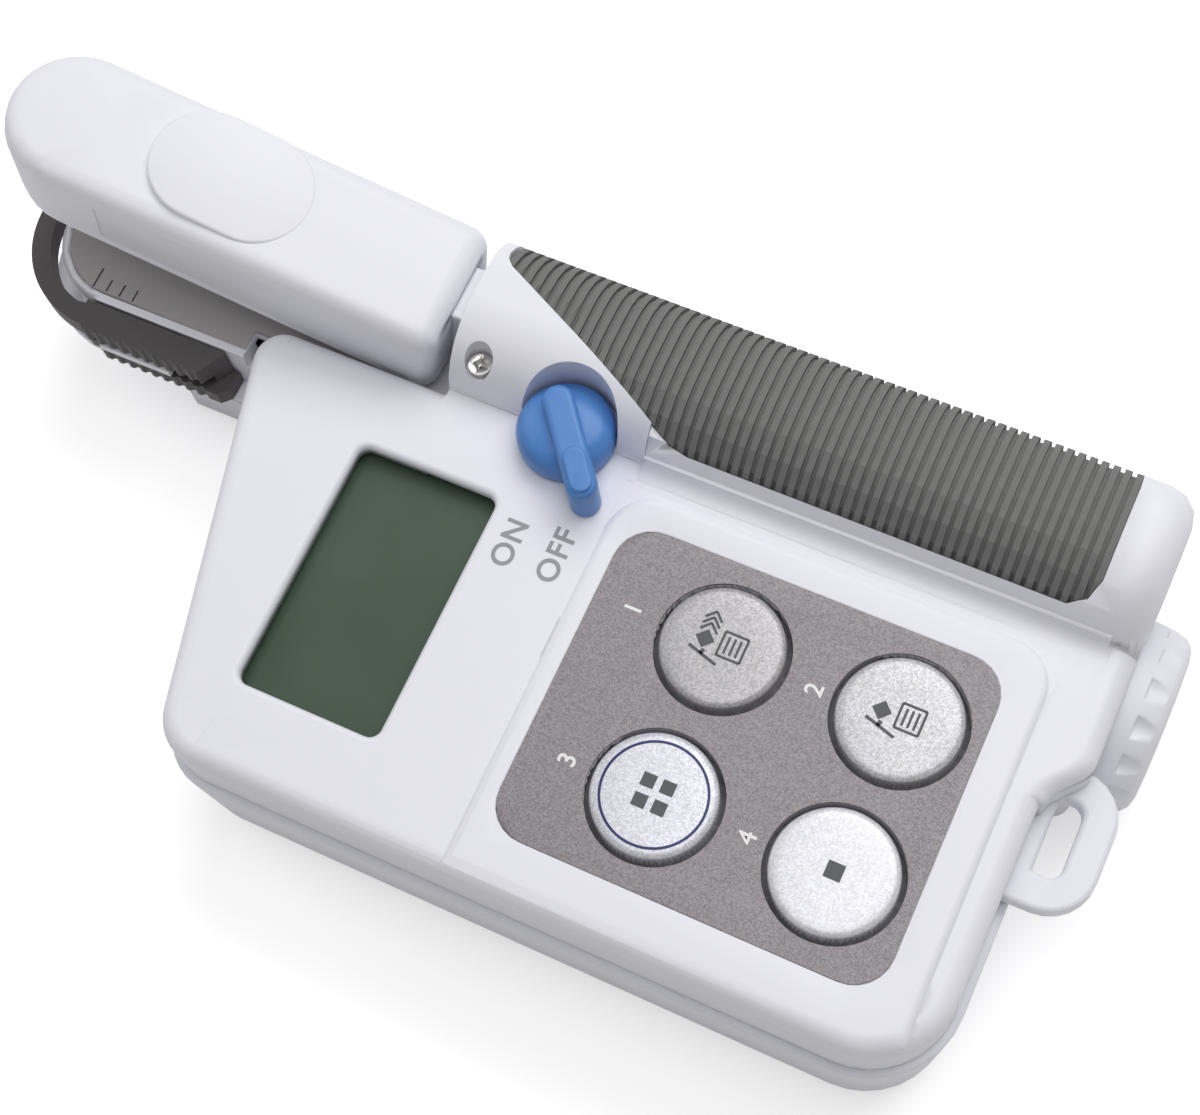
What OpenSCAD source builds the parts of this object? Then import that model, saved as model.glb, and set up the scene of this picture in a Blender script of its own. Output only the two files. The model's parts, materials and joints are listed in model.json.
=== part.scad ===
// Handheld chlorophyll meter: a pocket instrument that clamps a leaf between two arms.
// It lies on its flat back. X runs from the measuring head (-) to the battery cap (+), Z is up out of the key face.

/* [Overall] */
// Length of the handle, from the hinge cover to its right end
handle_len = 92; // [88:0.5:104]
// Reach of the measuring head, from the hinge cover to the outer edge of the depth stop
head_len = 67.5; // [66:0.5:76]
// Width over the rear cover
width = 78.4; // [76:0.2:84]
// Height of the key face above the back
face_z = 30; // [29:0.2:33]
// Height of the hand grip above the key face
grip_rise = 8.3; // [7.5:0.1:10]
// Height of the parting line between the two covers
part_z = 19.7; // [19:0.1:20.2]
// Wall thickness of the covers
wall = 2; // [1.6:0.1:2.2]
// Gap between pieces of one assembly
seam = 0.1; // [0.05:0.05:0.2]
// Gap round a piece that moves
gap = 0.3; // [0.25:0.05:0.4]

/* [Key face] */
// Length of the face left of the hinge cover
face_overhang = 28.3; // [26:0.1:31]
// Slant of the left end, in degrees
left_slant = 14.2; // [10:0.1:18]
// Plan radius of the lower left corner
corner_left = 8; // [5:0.5:10]
// Plan radius of the lower right corner
corner_right = 12; // [8:0.5:14]
// How far the handle end stands out beyond the key end
end_step = 3.6; // [2:0.1:5]
// Rounding of the front cover's edges
edge_r = 2.5; // [1.5:0.1:2.8]
// Drop of the display section below the key section
display_drop = 0.6; // [0.3:0.1:1]

/* [Display] */
// Width of the display window
window_w = 19.5; // [16:0.5:21]
// Height of the display window
window_h = 34.2; // [28:0.5:35]
// Window centre to the right of the hinge cover's left face
window_from_hinge = 2.65; // [1:0.05:4]
// Window centre, across the meter
window_y = -9.6; // [-12:0.1:-9]
// Thickness of the window lens
lens_t = 1.1; // [0.8:0.1:1.4]

/* [Keypad] */
// Width of the keypad overlay
overlay_w = 49.8; // [46:0.2:52]
// Height of the keypad overlay
overlay_h = 42.1; // [40:0.1:44]
// Corner radius of the overlay
overlay_r = 5; // [3:0.5:7]
// Thickness of the overlay
overlay_t = 0.4; // [0.3:0.05:0.6]
// Overlay centre, in from the handle end
overlay_from_end = 38; // [36:0.5:40]
// Overlay centre, across the meter
overlay_y = -10.1; // [-12:0.1:-9]
// Radius of a key
key_r = 7.7; // [6.5:0.1:8.2]
// Gap round a key
key_gap = 0.74; // [0.4:0.02:0.9]
// Distance between key columns
key_pitch_x = 22.7; // [20:0.1:23]
// Distance between key rows
key_pitch_y = 19.9; // [19:0.1:21]
// Height of a key above the face
key_proud = 1.2; // [0.8:0.1:1.8]
// Travel of a key
key_travel = 0.5; // [0.3:0.05:0.6]

/* [Grip] */
// Thickness of the rubber grip
grip_t = 1.6; // [1.2:0.1:1.8]
// Pitch of the grip ribs
rib_pitch = 1.455; // [1.3:0.005:1.8]
// Width of a grip rib
rib_w = 0.85; // [0.6:0.05:1]
// Height of a grip rib
rib_h = 0.55; // [0.3:0.05:0.7]
// White end of the handle beside the grip
grip_end = 7.4; // [6:0.1:10]
// Where the grip's slanted edge starts, right of the hinge cover
slant_start = 1.6; // [1.4:0.1:3]
// Where the grip's slanted edge ends, right of the hinge cover
slant_end = 32.9; // [32:0.1:36]

/* [Measuring arm] */
// Opening angle of the arm at rest
arm_open = 9.75; // [8:0.25:12]
// Height of the arm
arm_h = 13.6; // [12:0.1:15]
// Width of the arm
arm_w = 18.8; // [18:0.1:20]
// Arm centre, across the meter
arm_y = 28.3; // [28:0.1:29]
// Length of the arm
arm_len = 64.1; // [60:0.1:66]
// Gap between the two arms when closed
arm_closed_gap = 2.8; // [2.4:0.1:3.4]
// Hinge pin, left of the hinge cover
pin_back = 7.5; // [7:0.1:9]
// Hinge pin above the lower arm
pin_up = 5.7; // [5.4:0.1:6.5]
// Radius of the hinge pin
pin_r = 1.5; // [1.2:0.1:1.8]
// Width of the hinge lug
lug_w = 7.6; // [6.5:0.1:8]
// Length of the finger rest
rest_len = 24; // [20:0.5:28]
// Width of the finger rest
rest_w = 13.4; // [11:0.1:14]
// Height of the finger rest
rest_h = 1; // [0.6:0.1:1.6]

/* [Lower arm] */
// Height of the lower arm
base_z = 22.8; // [22.2:0.1:23.4]
// Height of the ledge that the depth stop rides on
ledge_z = 14.5; // [13:0.1:15]
// Radius of the platform's round tip
platform_r = 10.4; // [10:0.1:10.8]
// Radius of the depth stop's outer edge
stop_r = 14.2; // [14:0.1:15]
// Width of the depth stop's band
band_w = 2.7; // [2.2:0.1:2.9]
// Tip centre, across the meter
tip_y = 25; // [24.8:0.1:25.2]
// Travel of the depth stop
stop_travel = 6; // [4:0.5:8]
// Radius of the measuring window
eye_r = 1.8; // [1.4:0.1:2.2]
// Radius of the window gasket
gasket_r = 3.4; // [3:0.1:4]
// Height of a gasket above its arm
gasket_h = 1.2; // [0.9:0.1:1.3]

/* [Power lever] */
// Lever pivot, right of the hinge cover's left face
lever_x = 17; // [16:0.1:17.5]
// Lever pivot, across the meter
lever_y = 18.3; // [18:0.1:18.6]
// Radius of the lever's disc
lever_r = 6.3; // [5.5:0.1:6.4]
// Length of the lever from its pivot
lever_len = 11.3; // [9:0.1:12]
// Width of the lever bar
lever_w = 4; // [3.2:0.1:4.6]
// Direction of the lever when off, in degrees
lever_dir = -51; // [-56:1:-45]
// Turn from off to on, in degrees
lever_turn = 40; // [30:1:45]

/* [Battery] */
// Radius of a battery cell
cell_r = 7.25; // [6.9:0.05:7.4]
// Length of a battery cell
cell_len = 50.5; // [44:0.5:50.5]
// Cell axis, across the meter
cell_y = 17; // [16.5:0.1:17.4]
// Cell axis, above the back
cell_z = 13.2; // [12.9:0.1:13.4]
// Radius of the battery cap
cap_r = 12.2; // [11.5:0.1:12.6]
// How far the cap stands out of the handle
cap_proud = 5.7; // [5:0.1:7]
// Number of finger flutes on the cap
cap_flutes = 15; // [10:1:18]

/* [Strap loop] */
// Reach of the loop beyond the key end
loop_reach = 8.5; // [7.5:0.1:10]
// Width of the loop, across the meter
loop_w = 18.2; // [16:0.1:20]
// Width of the loop's bar
loop_bar = 4.2; // [3:0.1:4.6]
// Thickness of the loop
loop_t = 3; // [2.5:0.1:3.4]
// Loop centre, across the meter
loop_y = -3.8; // [-5:0.1:-3.5]

/* [Hidden] */

white = [0.93, 0.93, 0.95];
grip_grey = [0.46, 0.46, 0.45];
blue = [0.3, 0.52, 0.8];
dark_grey = [0.33, 0.3, 0.3];
eps = 0.02;

// Stations along X
total_len = cap_proud + handle_len + head_len;
end_x = total_len / 2 - cap_proud;
hinge_x = end_x - handle_len;
tip_x = -total_len / 2;
face_x = hinge_x - face_overhang;
key_end_x = end_x - end_step;
half_w = width / 2;
grip_z = face_z + grip_rise;
display_z = face_z - display_drop;
// The face meets the handle, and the front edge of the arm bay
bay_y = arm_y - arm_w / 2 - 0.4;

// Hand grip section: two arcs and a flat
grip_front = bay_y + 0.2;
front_arc = 9.8;
back_arc = 6.6;

function arc_pts(c, r, a0, a1, n = 6) =
    [for (i = [0:n]) let (a = a0 + (a1 - a0) * i / n) [c[0] + r * cos(a), c[1] + r * sin(a)]];

function grip_section(i, z0) = concat(
    [[half_w - i, z0]],
    arc_pts([half_w - back_arc, grip_z - back_arc], back_arc - i, 0, 90, 5),
    arc_pts([grip_front + front_arc, grip_z - front_arc], front_arc - i, 90, 180, 5),
    [[grip_front + i, z0]]
);

module along_x(x0, len) {
    translate([x0, 0, 0])
        rotate([90, 0, 90])
            linear_extrude(len) children();
}

module along_y(y0, len) {
    translate([0, y0 + len, 0])
        rotate([90, 0, 0])
            linear_extrude(len) children();
}

// Corner of a rounded shell: plan radius r, edge radius e0 at the bottom and e1 at the top, drawn in by d at the bottom
module corner_post(x, y, r, z0, z1, e0, e1, d = 0) {
    for (a = e0 > 0 ? [0:30:90] : [90])
        translate([x, y, z0 + e0 * (1 - cos(a))])
            cylinder(r = r - d - e0 * (1 - sin(a)), h = eps, $fn = 32);
    for (a = e1 > 0 ? [0:30:90] : [90])
        translate([x, y, z1 - e1 * (1 - cos(a)) - eps])
            cylinder(r = r - e1 * (1 - sin(a)), h = eps, $fn = 32);
}

// Centre of the lower left corner, where the slanted end meets the lower side
slant_n = [cos(left_slant), sin(left_slant)];
corner_left_y = -half_w + corner_left;
corner_left_x = face_x + corner_left * slant_n[0]
    + (bay_y + corner_left * slant_n[1] - corner_left_y) * tan(left_slant);
corner_right_x = key_end_x - corner_right;
corner_right_y = -half_w + corner_right;
top_left_r = 4;

// Key section and display section of a cover, drawn in by i
module slab(z0, z1, e0, e1, i, d = 0) {
    hull() {
        corner_post(face_x + top_left_r + 0.5 + i, bay_y - top_left_r, top_left_r, z0, z1, e0, e1, d);
        corner_post(corner_left_x, corner_left_y, corner_left - i, z0, z1, e0, e1, d);
        corner_post(corner_right_x, corner_right_y, corner_right - i, z0, z1, e0, e1, d);
        corner_post(key_end_x - 4 - i, bay_y - 4, 4, z0, z1, e0, e1, d);
    }
}

// Handle side of a cover, as high as the key face
handle_y = 3;
module handle_block(z0, z1, e0, e1, i, d = 0) {
    hull() {
        corner_post(hinge_x + 4, handle_y + 4, 4 - i, z0, z1, e0, e1, d);
        corner_post(hinge_x + 4, half_w - 4, 4 - i, z0, z1, e0, e1, d);
        corner_post(end_x - 4, handle_y + 4, 4 - i, z0, z1, e0, e1, d);
        corner_post(end_x - 4, half_w - 4, 4 - i, z0, z1, e0, e1, d);
    }
}

// Raised hand grip with a rounded right end, drawn down to z0
module grip_bulge(z0) {
    hull() {
        along_x(hinge_x, handle_len - 4) polygon(grip_section(0, z0));
        for (a = [30:30:90])
            along_x(end_x - 4 + 4 * sin(a) - eps, eps) polygon(grip_section(4 * (1 - cos(a)), z0));
    }
}

// Shoulder between the key end and the handle end, an S-curve in plan with a rounded top edge
module end_shoulder(z0, z1, e1) {
    x1 = end_x - 0.15;
    intersection() {
        along_y(handle_y - 8, half_w) polygon(concat(
            [[hinge_x + 0.3, z0], [x1, z0]],
            arc_pts([x1 - e1, z1 - e1], e1, 0, 90, 4),
            [[hinge_x + 0.3, z1]]
        ));
        translate([0, 0, z0 - 1])
            linear_extrude(z1 - z0 + 2) polygon(concat(
                [[hinge_x - 1, grip_front + 6], [hinge_x - 1, handle_y - 6], [key_end_x - 3, handle_y - 6]],
                [for (t = [0:0.125:1]) [
                    key_end_x - 0.4 + (end_step + 0.5) * (1 - cos(180 * t)) / 2,
                    handle_y - 5 + 7 * t
                ]],
                [[end_x + 1, grip_front + 6]]
            ));
    }
}

// Cove where the face sweeps up into the hand grip
cove_r = 1.4;
module grip_cove() {
    difference() {
        translate([hinge_x, grip_front - cove_r, face_z - 1])
            cube([handle_len - 4, cove_r + 1, cove_r + 1]);
        translate([hinge_x - 1, grip_front - cove_r, face_z + cove_r])
            rotate([0, 90, 0])
                cylinder(r = cove_r, h = handle_len);
    }
}

// Plan outline of the inside of the key and display sections, i inside the covers
function inside_plan(i) = [
    [face_x + (i + 1) / slant_n[0] + 2, bay_y - i],
    [corner_left_x - corner_left * 0.75 + i, corner_left_y],
    [corner_left_x, -half_w + i + 1],
    [corner_right_x, -half_w + i + 1],
    [key_end_x - i - corner_right * 0.3, corner_right_y - corner_right * 0.5],
    [key_end_x - i - 1, corner_right_y],
    [key_end_x - i - 1, bay_y - i]
];

// Plan outline of the grip, in from its edge by i
grip_low = part_z + 2.4;
grip_right = end_x - grip_end;
grip_edge_y = bay_y + 1.7;
function grip_plan(i) = [
    [hinge_x + slant_start + i * 2, half_w + 2],
    [hinge_x + slant_start + i * 2, half_w - 3.4],
    [hinge_x + slant_start + 0.3 + i * 2, half_w - 4.4],
    [hinge_x + slant_start + 1.3 + i * 2, half_w - 5.4],
    [hinge_x + slant_end - 4.9 + i, grip_edge_y + 1.3 + i],
    [hinge_x + slant_end - 2.5 + i, grip_edge_y + 0.3 + i],
    [hinge_x + slant_end + i, grip_edge_y + i],
    [grip_right - 3 - i, grip_edge_y + i],
    [grip_right - 0.9 - i, grip_edge_y + 0.9 + i],
    [grip_right - i, grip_edge_y + 3 + i],
    [grip_right - i, half_w + 2]
];

// Plan outline of the hinge cover, in from its edge by i
function hinge_plan(i) = [
    [hinge_x + i, half_w + 2],
    [hinge_x + i, bay_y + i],
    [hinge_x + slant_end - 5.5 - i, bay_y + i],
    [hinge_x + slant_end - 5.5 - i, grip_edge_y + 1.6 - i],
    [hinge_x + slant_start + 1.3 - i * 2, half_w - 5.4],
    [hinge_x + slant_start + 0.3 - i * 2, half_w - 4.4],
    [hinge_x + slant_start - i * 2, half_w - 3.4],
    [hinge_x + slant_start - i * 2, half_w + 2]
];

key_cx = end_x - overlay_from_end;
key_spots = [
    [key_cx - 7.7, overlay_y + key_pitch_y / 2 + 0.15],
    [key_cx - 7.7 + key_pitch_x, overlay_y + key_pitch_y / 2 + 0.15],
    [key_cx - 7.7, overlay_y - key_pitch_y / 2 + 0.15],
    [key_cx - 7.7 + key_pitch_x, overlay_y - key_pitch_y / 2 + 0.15]
];
window_x = hinge_x + window_from_hinge;
crease_x = hinge_x + 26.2;
lever_px = hinge_x + lever_x;
key_hole_r = key_r + key_gap;

screw_spots = [
    [corner_left_x + 1, -half_w + 6],
    [corner_right_x + 3, -half_w + 8],
    [end_x - 8, half_w - 7],
    [hinge_x + 22, half_w - 7]
];
screw_r = 1.2;
screw_head_r = 2.2;
boss_r = 3.2;

// Inner levels
roof_z = face_z - wall;
lens_z = display_z - wall - seam;
board_t = 1.6;
board_z = roof_z - 7;
tube_in = cell_r + 0.25;
tube_out = tube_in + 0.8;
tube_end = 6.4;
cap_seat = 2.2;
end_wall = cap_seat + 1.4;

module rounded_plate(w, h, r, t) {
    linear_extrude(t) polygon(concat(
        arc_pts([w / 2 - r, h / 2 - r], r, 0, 90),
        arc_pts([-w / 2 + r, h / 2 - r], r, 90, 180),
        arc_pts([-w / 2 + r, -h / 2 + r], r, 180, 270),
        arc_pts([w / 2 - r, -h / 2 + r], r, 270, 360)
    ));
}

module front_cover() {
    z0 = part_z + seam;
    color(white) difference() {
        union() {
            slab(z0, face_z, 0, edge_r, 1);
            grip_bulge(z0);
            end_shoulder(z0 + 0.05, face_z - 0.02, edge_r);
            grip_cove();
        }
        // Lower display section
        translate([face_x - 5, -width, display_z])
            cube([crease_x - face_x + 5, width + bay_y, 5]);
        translate([face_x - 5, 0, display_z])
            cube([face_overhang + 5, bay_y + 2, 5]);
        // Inside of the key and display sections
        translate([0, 0, z0 - 1])
            linear_extrude(lens_z + seam - z0 + 1) polygon(inside_plan(wall + 1));
        translate([crease_x + 1, -half_w + wall + 4, z0 - 1])
            cube([key_end_x - wall - 6 - crease_x, half_w + handle_y, roof_z - z0 + 1]);
        // Inside of the handle
        translate([hinge_x + wall, handle_y + wall, z0 - 1])
            cube([handle_len - wall - end_wall, half_w - handle_y - 2 * wall - 0.4, roof_z - z0 + 1]);
        along_x(hinge_x + slant_end + 2, handle_len - slant_end - 2 - wall - 2)
            polygon(grip_section(grip_t + wall, z0 - 1));
        // Seat of the hinge cover
        translate([0, 0, face_z])
            linear_extrude(20) polygon(hinge_plan(-seam));
        // Seat of the grip
        difference() {
            translate([0, 0, grip_low - seam])
                linear_extrude(40) polygon(grip_plan(-seam));
            along_x(hinge_x - 1, handle_len + 2) polygon(grip_section(grip_t + seam, z0 - 2));
        }
        // Battery tube and cap passage
        translate([tube_left - 1, cell_y, cell_z])
            rotate([0, 90, 0])
                cylinder(r = tube_out + gap, h = end_x - tube_left);
        translate([end_x - cap_seat, cell_y, cell_z])
            rotate([0, 90, 0])
                cylinder(r = cap_r + gap, h = 10);
        // Display window
        translate([window_x, window_y, display_z - wall - 1])
            rounded_plate(window_w, window_h, 1.5, 10);
        // Overlay seat and key holes
        translate([key_cx, overlay_y, face_z - overlay_t])
            rounded_plate(overlay_w + 2 * seam, overlay_h + 2 * seam, overlay_r, 2);
        for (p = key_spots)
            translate([p[0], p[1], roof_z - 1])
                cylinder(r = key_hole_r, h = 6);
        // Lever shaft
        translate([lever_px, lever_y, roof_z - 1])
            cylinder(r = 2.3 + 0.05, h = 6);
        // Hole of the hinge cover's screw
        translate([cover_screw_x, cover_screw_y, roof_z - 1])
            cylinder(r = cover_screw_r + 0.03, h = 6);
        // Hinge lug passage
        translate([hinge_x - 1, arm_y + 0.9 - lug_w / 2 - seam, part_z - 1])
            cube([15, lug_w + 2 * seam, 24]);
        strap_pocket();
    }
    // Bosses that take the case screws
    color(white) for (k = [0:3])
        translate([screw_spots[k][0], screw_spots[k][1], z0])
            difference() {
                cylinder(r = boss_r, h = (k == 2 ? grip_z - grip_t - 0.6 : roof_z + 0.5) - z0);
                translate([0, 0, -1]) cylinder(r = screw_r + 0.03, h = 7);
            }
}

module strap_pocket() {
    translate([key_end_x - wall - 2, loop_y - loop_w / 2 - seam, part_z - seam])
        cube([wall + loop_reach, loop_w + 2 * seam, loop_t + 2 * seam]);
}

platform_x = tip_x + stop_r + 0.5;
platform_y = tip_y + 0.2;
plate_t = 1.2;

// Lower arm, from its round tip back into the body
module lower_arm(z0, z1, r, e0, d) {
    hull() {
        corner_post(tip_x + stop_r, tip_y, r, z0, z1, e0, 0.3, d);
        corner_post(hinge_x, tip_y, r, z0, z1, e0, 0.3, d);
    }
}

module rear_cover() {
    color(white) difference() {
        union() {
            slab(0, part_z, 2, 0.4, 0, 1);
            handle_block(0, part_z, 2, 0.4, 0, 1);
            lower_arm(0, ledge_z, stop_r - 0.7, 2, 1);
            // Platform that carries the receptor plate
            hull() {
                translate([platform_x, platform_y, ledge_z - 1])
                    cylinder(r = platform_r, h = base_z - ledge_z + 1, $fn = 48);
                translate([hinge_x - 2, platform_y, ledge_z - 1])
                    cylinder(r = platform_r, h = base_z - ledge_z + 1, $fn = 48);
            }
            // Bay under the arm, behind the face
            translate([face_x + 6, bay_y + seam, 1])
                cube([hinge_x - face_x - 6, half_w - bay_y - 1.6 - seam, base_z - 1]);
        }
        // Face of the front cover's bay wall
        translate([face_x - 2, bay_y - 12, part_z])
            cube([face_overhang + 3, 12 + seam, 10]);
        // Left end of the handle, where the front cover takes over
        translate([hinge_x - seam, handle_y, part_z])
            cube([handle_len, half_w, 10]);
        // Inside of the key and display sections
        translate([0, 0, wall])
            linear_extrude(40) polygon(inside_plan(wall + 1));
        // Inside of the handle
        translate([hinge_x + wall, handle_y + wall, wall])
            cube([handle_len - wall - end_wall, half_w - handle_y - 2 * wall - 0.4, 40]);
        // Inside of the lower arm
        translate([platform_x - 1, platform_y - platform_r + wall + 1, wall])
            cube([hinge_x - platform_x - 1, 2 * (platform_r - wall - 1), base_z - wall - plate_t - seam]);
        translate([platform_x - 6, platform_y - 6.2, base_z - 7])
            cube([7, 12.4, 7 - plate_t - seam]);
        // Guide groove of the depth stop
        translate([stop_key_x - stop_travel - gap, platform_y - platform_r - 1, stop_key_z - gap])
            cube([stop_key_len + stop_travel + 2 * gap, 1 + 1.3, 2 + 2 * gap]);
        // Seat of the receptor plate
        translate([0, 0, base_z - plate_t - seam])
            linear_extrude(5) plate_outline(-seam);
        // Battery tube passage and cap opening
        translate([tube_left - 1, cell_y, cell_z])
            rotate([0, 90, 0])
                cylinder(r = tube_out + gap, h = end_x - tube_left);
        translate([end_x - cap_seat, cell_y, cell_z])
            rotate([0, 90, 0])
                cylinder(r = cap_r + gap, h = 10);
        // Counterbores of the case screws
        for (p = screw_spots)
            translate([p[0], p[1], -1]) {
                cylinder(r = screw_r + 0.2, h = 10);
                cylinder(r = screw_head_r + 0.3, h = 3);
            }
        strap_pocket();
        // Hinge bracket foot
        translate([hinge_x - 4, arm_y + 0.9 - lug_w / 2 - seam, base_z - 6])
            cube([20, lug_w + 2 * seam, 20]);
    }
    // Screw bosses
    color(white) for (p = screw_spots)
        translate([p[0], p[1], wall - 0.5])
            difference() {
                cylinder(r = boss_r, h = part_z - wall);
                translate([0, 0, -1]) cylinder(r = screw_r + 0.2, h = part_z + 2);
                translate([0, 0, -2]) cylinder(r = screw_head_r + 0.3, h = 2.5);
            }
}

module plate_outline(i) {
    w = platform_r - 1.2 - i;
    polygon(concat(
        arc_pts([platform_x, platform_y], w, 90, 270, 16),
        [
            [face_x - 2.2 - i, platform_y - w], [face_x - 2.2 - i, bay_y + 0.3 + i],
            [hinge_x - 6, bay_y + 0.3 + i], [hinge_x - 6, platform_y + w]
        ]
    ));
}

module hinge_cover() {
    color(white) difference() {
        intersection() {
            translate([0, 0, face_z + seam])
                linear_extrude(20) polygon(hinge_plan(0));
            union() {
                along_x(hinge_x, slant_end) polygon(grip_section(0, face_z - 6));
                intersection() {
                    grip_cove();
                    translate([hinge_x, 0, 0]) cube([slant_end, width, 60]);
                }
            }
        }
        // Recess for the lever's disc
        translate([lever_px, lever_y, face_z - 1])
            cylinder(r = lever_r + 0.4, h = 20);
        // Screw hole with counterbore
        translate([cover_screw_x, cover_screw_y, face_z - 1])
            cylinder(r = cover_screw_r + 0.1, h = 20);
        translate([cover_screw_x, cover_screw_y, cover_screw_z])
            cylinder(r = 1.9, h = 20);
        // Lug passage and hollow over it
        translate([hinge_x - 1, arm_y + 0.9 - lug_w / 2 - seam, face_z - 1])
            cube([13, lug_w + 2 * seam, grip_rise - wall + 1 + seam]);
    }
}

cover_screw_x = hinge_x + 3.7;
cover_screw_y = bay_y + 3;
cover_screw_z = grip_z - 5.4;
cover_screw_r = 0.9;

module screw(shank_r, head_r, head_h, len) {
    difference() {
        union() {
            translate([0, 0, -len]) cylinder(r = shank_r, h = len);
            cylinder(r = head_r, h = head_h);
        }
        for (a = [0, 90])
            rotate([0, 0, a])
                translate([-head_r * 0.65, -head_r * 0.12, head_h * 0.4])
                    cube([head_r * 1.3, head_r * 0.24, head_h]);
    }
}

module cover_screw() {
    color("silver")
        translate([cover_screw_x, cover_screw_y, cover_screw_z + seam])
            screw(cover_screw_r, 1.5, 1.1, cover_screw_z - roof_z - 0.5);
}

module case_screws() {
    color("silver") for (p = screw_spots)
        translate([p[0], p[1], 1.9])
            rotate([180, 0, 0])
                screw(screw_r, screw_head_r, 1.2, part_z + 3);
}

module grip_cover() {
    ribs = floor((grip_right - hinge_x - slant_start - 1) / rib_pitch);
    color(grip_grey) intersection() {
        translate([0, 0, grip_low])
            linear_extrude(40) polygon(grip_plan(0));
        union() {
            along_x(hinge_x, handle_len) difference() {
                polygon(grip_section(rib_h, grip_low - 1));
                polygon(grip_section(grip_t, grip_low - 2));
            }
            for (k = [0:ribs])
                along_x(grip_right - rib_pitch * k - rib_w, rib_w) difference() {
                    polygon(grip_section(0, grip_low - 1));
                    polygon(grip_section(rib_h + 0.3, grip_low - 2));
                }
        }
    }
}

module display_lens() {
    color([0.5, 0.6, 0.55, 0.5])
        translate([window_x, window_y, lens_z - lens_t])
            rounded_plate(window_w + 3, window_h + 3, 1, lens_t);
}

module lcd_panel() {
    color([0.25, 0.33, 0.27])
        translate([window_x, window_y, lens_z - lens_t - seam - 2])
            rounded_plate(window_w + 3, window_h + 3, 0.5, 2);
}

module lcd_frame() {
    z0 = board_z + board_t + seam;
    color("whitesmoke") difference() {
        translate([window_x, window_y, z0])
            rounded_plate(window_w + 6, window_h + 5.6, 1, lens_z - z0);
        translate([window_x, window_y, lens_z - lens_t - 2 - 2 * seam])
            rounded_plate(window_w + 3 + 2 * seam, window_h + 3 + 2 * seam, 0.4, 10);
        translate([window_x, window_y, z0 - 1])
            rounded_plate(window_w - 2, window_h - 2, 0.5, 20);
    }
}

module keypad_overlay() {
    color([0.55, 0.52, 0.52]) difference() {
        translate([key_cx, overlay_y, face_z - overlay_t + 0.05])
            rounded_plate(overlay_w, overlay_h, overlay_r, overlay_t);
        for (p = key_spots)
            translate([p[0], p[1], face_z - 2])
                cylinder(r = key_hole_r, h = 6);
    }
}

key_seat_z = roof_z - 1.6;
mat_top = key_seat_z - key_travel - gap;

module key(p) {
    top = face_z + key_proud;
    color("silver")
        translate([p[0], p[1], 0])
            rotate_extrude() polygon([
                [0, key_seat_z], [key_hole_r + 0.7, key_seat_z], [key_hole_r + 0.7, key_seat_z + 1.2],
                [key_r, key_seat_z + 1.2], [key_r, top - 0.7], [key_r - 0.2, top - 0.4], [key_r - 0.8, top - 0.2],
                [key_r * 0.6, top - 0.06], [0, top]
            ]);
}
module key_clear_all() { key(key_spots[0]); }
module key_delete_one() { key(key_spots[1]); }
module key_average() { key(key_spots[2]); }
module key_recall() { key(key_spots[3]); }

module keypad_mat() {
    z0 = board_z + board_t + seam;
    color([0.75, 0.75, 0.72]) {
        translate([key_cx, overlay_y, z0])
            rounded_plate(overlay_w - 4, overlay_h - 2, 2, 1);
        for (p = key_spots)
            translate([p[0], p[1], z0 + 0.5])
                cylinder(r1 = 6.4, r2 = 5.4, h = mat_top - z0 - 0.5, $fn = 48);
    }
}

module main_board() {
    color("seagreen") difference() {
        translate([corner_left_x - 1, -half_w + 6.5, board_z])
            cube([corner_right_x - corner_left_x + 4, half_w - 6.5 + cell_y - tube_out - 1.6, board_t]);
        for (p = screw_spots)
            translate([p[0], p[1], board_z - 1])
                cylinder(r = boss_r + 0.6, h = 4);
    }
}

module buzzer() {
    color([0.15, 0.15, 0.16])
        translate([window_x + 24, -half_w + 14, board_z - 5 - seam]) {
            difference() {
                cylinder(r = 6, h = 5);
                translate([0, 0, -1]) cylinder(r = 1, h = 3);
            }
        }
}

module switch_base() {
    color([0.2, 0.2, 0.22]) difference() {
        translate([lever_px - 6.5, lever_y - 6.5, cell_z + tube_out + 0.6])
            cube([13, 13, roof_z - 3.4 - cell_z - tube_out - 0.6]);
        translate([lever_px, lever_y, cell_z])
            cylinder(r = 1.6, h = 30);
    }
    // Stops at the ends of the lever's turn
    color([0.2, 0.2, 0.22]) for (a = [lever_dir + stop_lead, lever_dir - lever_turn - stop_lead])
        translate([lever_px, lever_y, roof_z - 3.6])
            rotate([0, 0, a]) translate([5.95, 0, 0]) cylinder(r = 0.4, h = 1.6);
}
stop_lead = 19;

module switch_rotor() {
    z0 = roof_z - 3.4 + gap;
    color("ivory") difference() {
        translate([lever_px, lever_y, z0]) union() {
            cylinder(r = 5.2, h = roof_z - gap - z0);
            rotate([0, 0, lever_dir]) translate([0, -1.2, 0]) cube([6.2, 2.4, 1.4]);
        }
        translate([lever_px, lever_y, z0 - 1])
            cylinder(r = 2.3, h = 10);
    }
}

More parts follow.
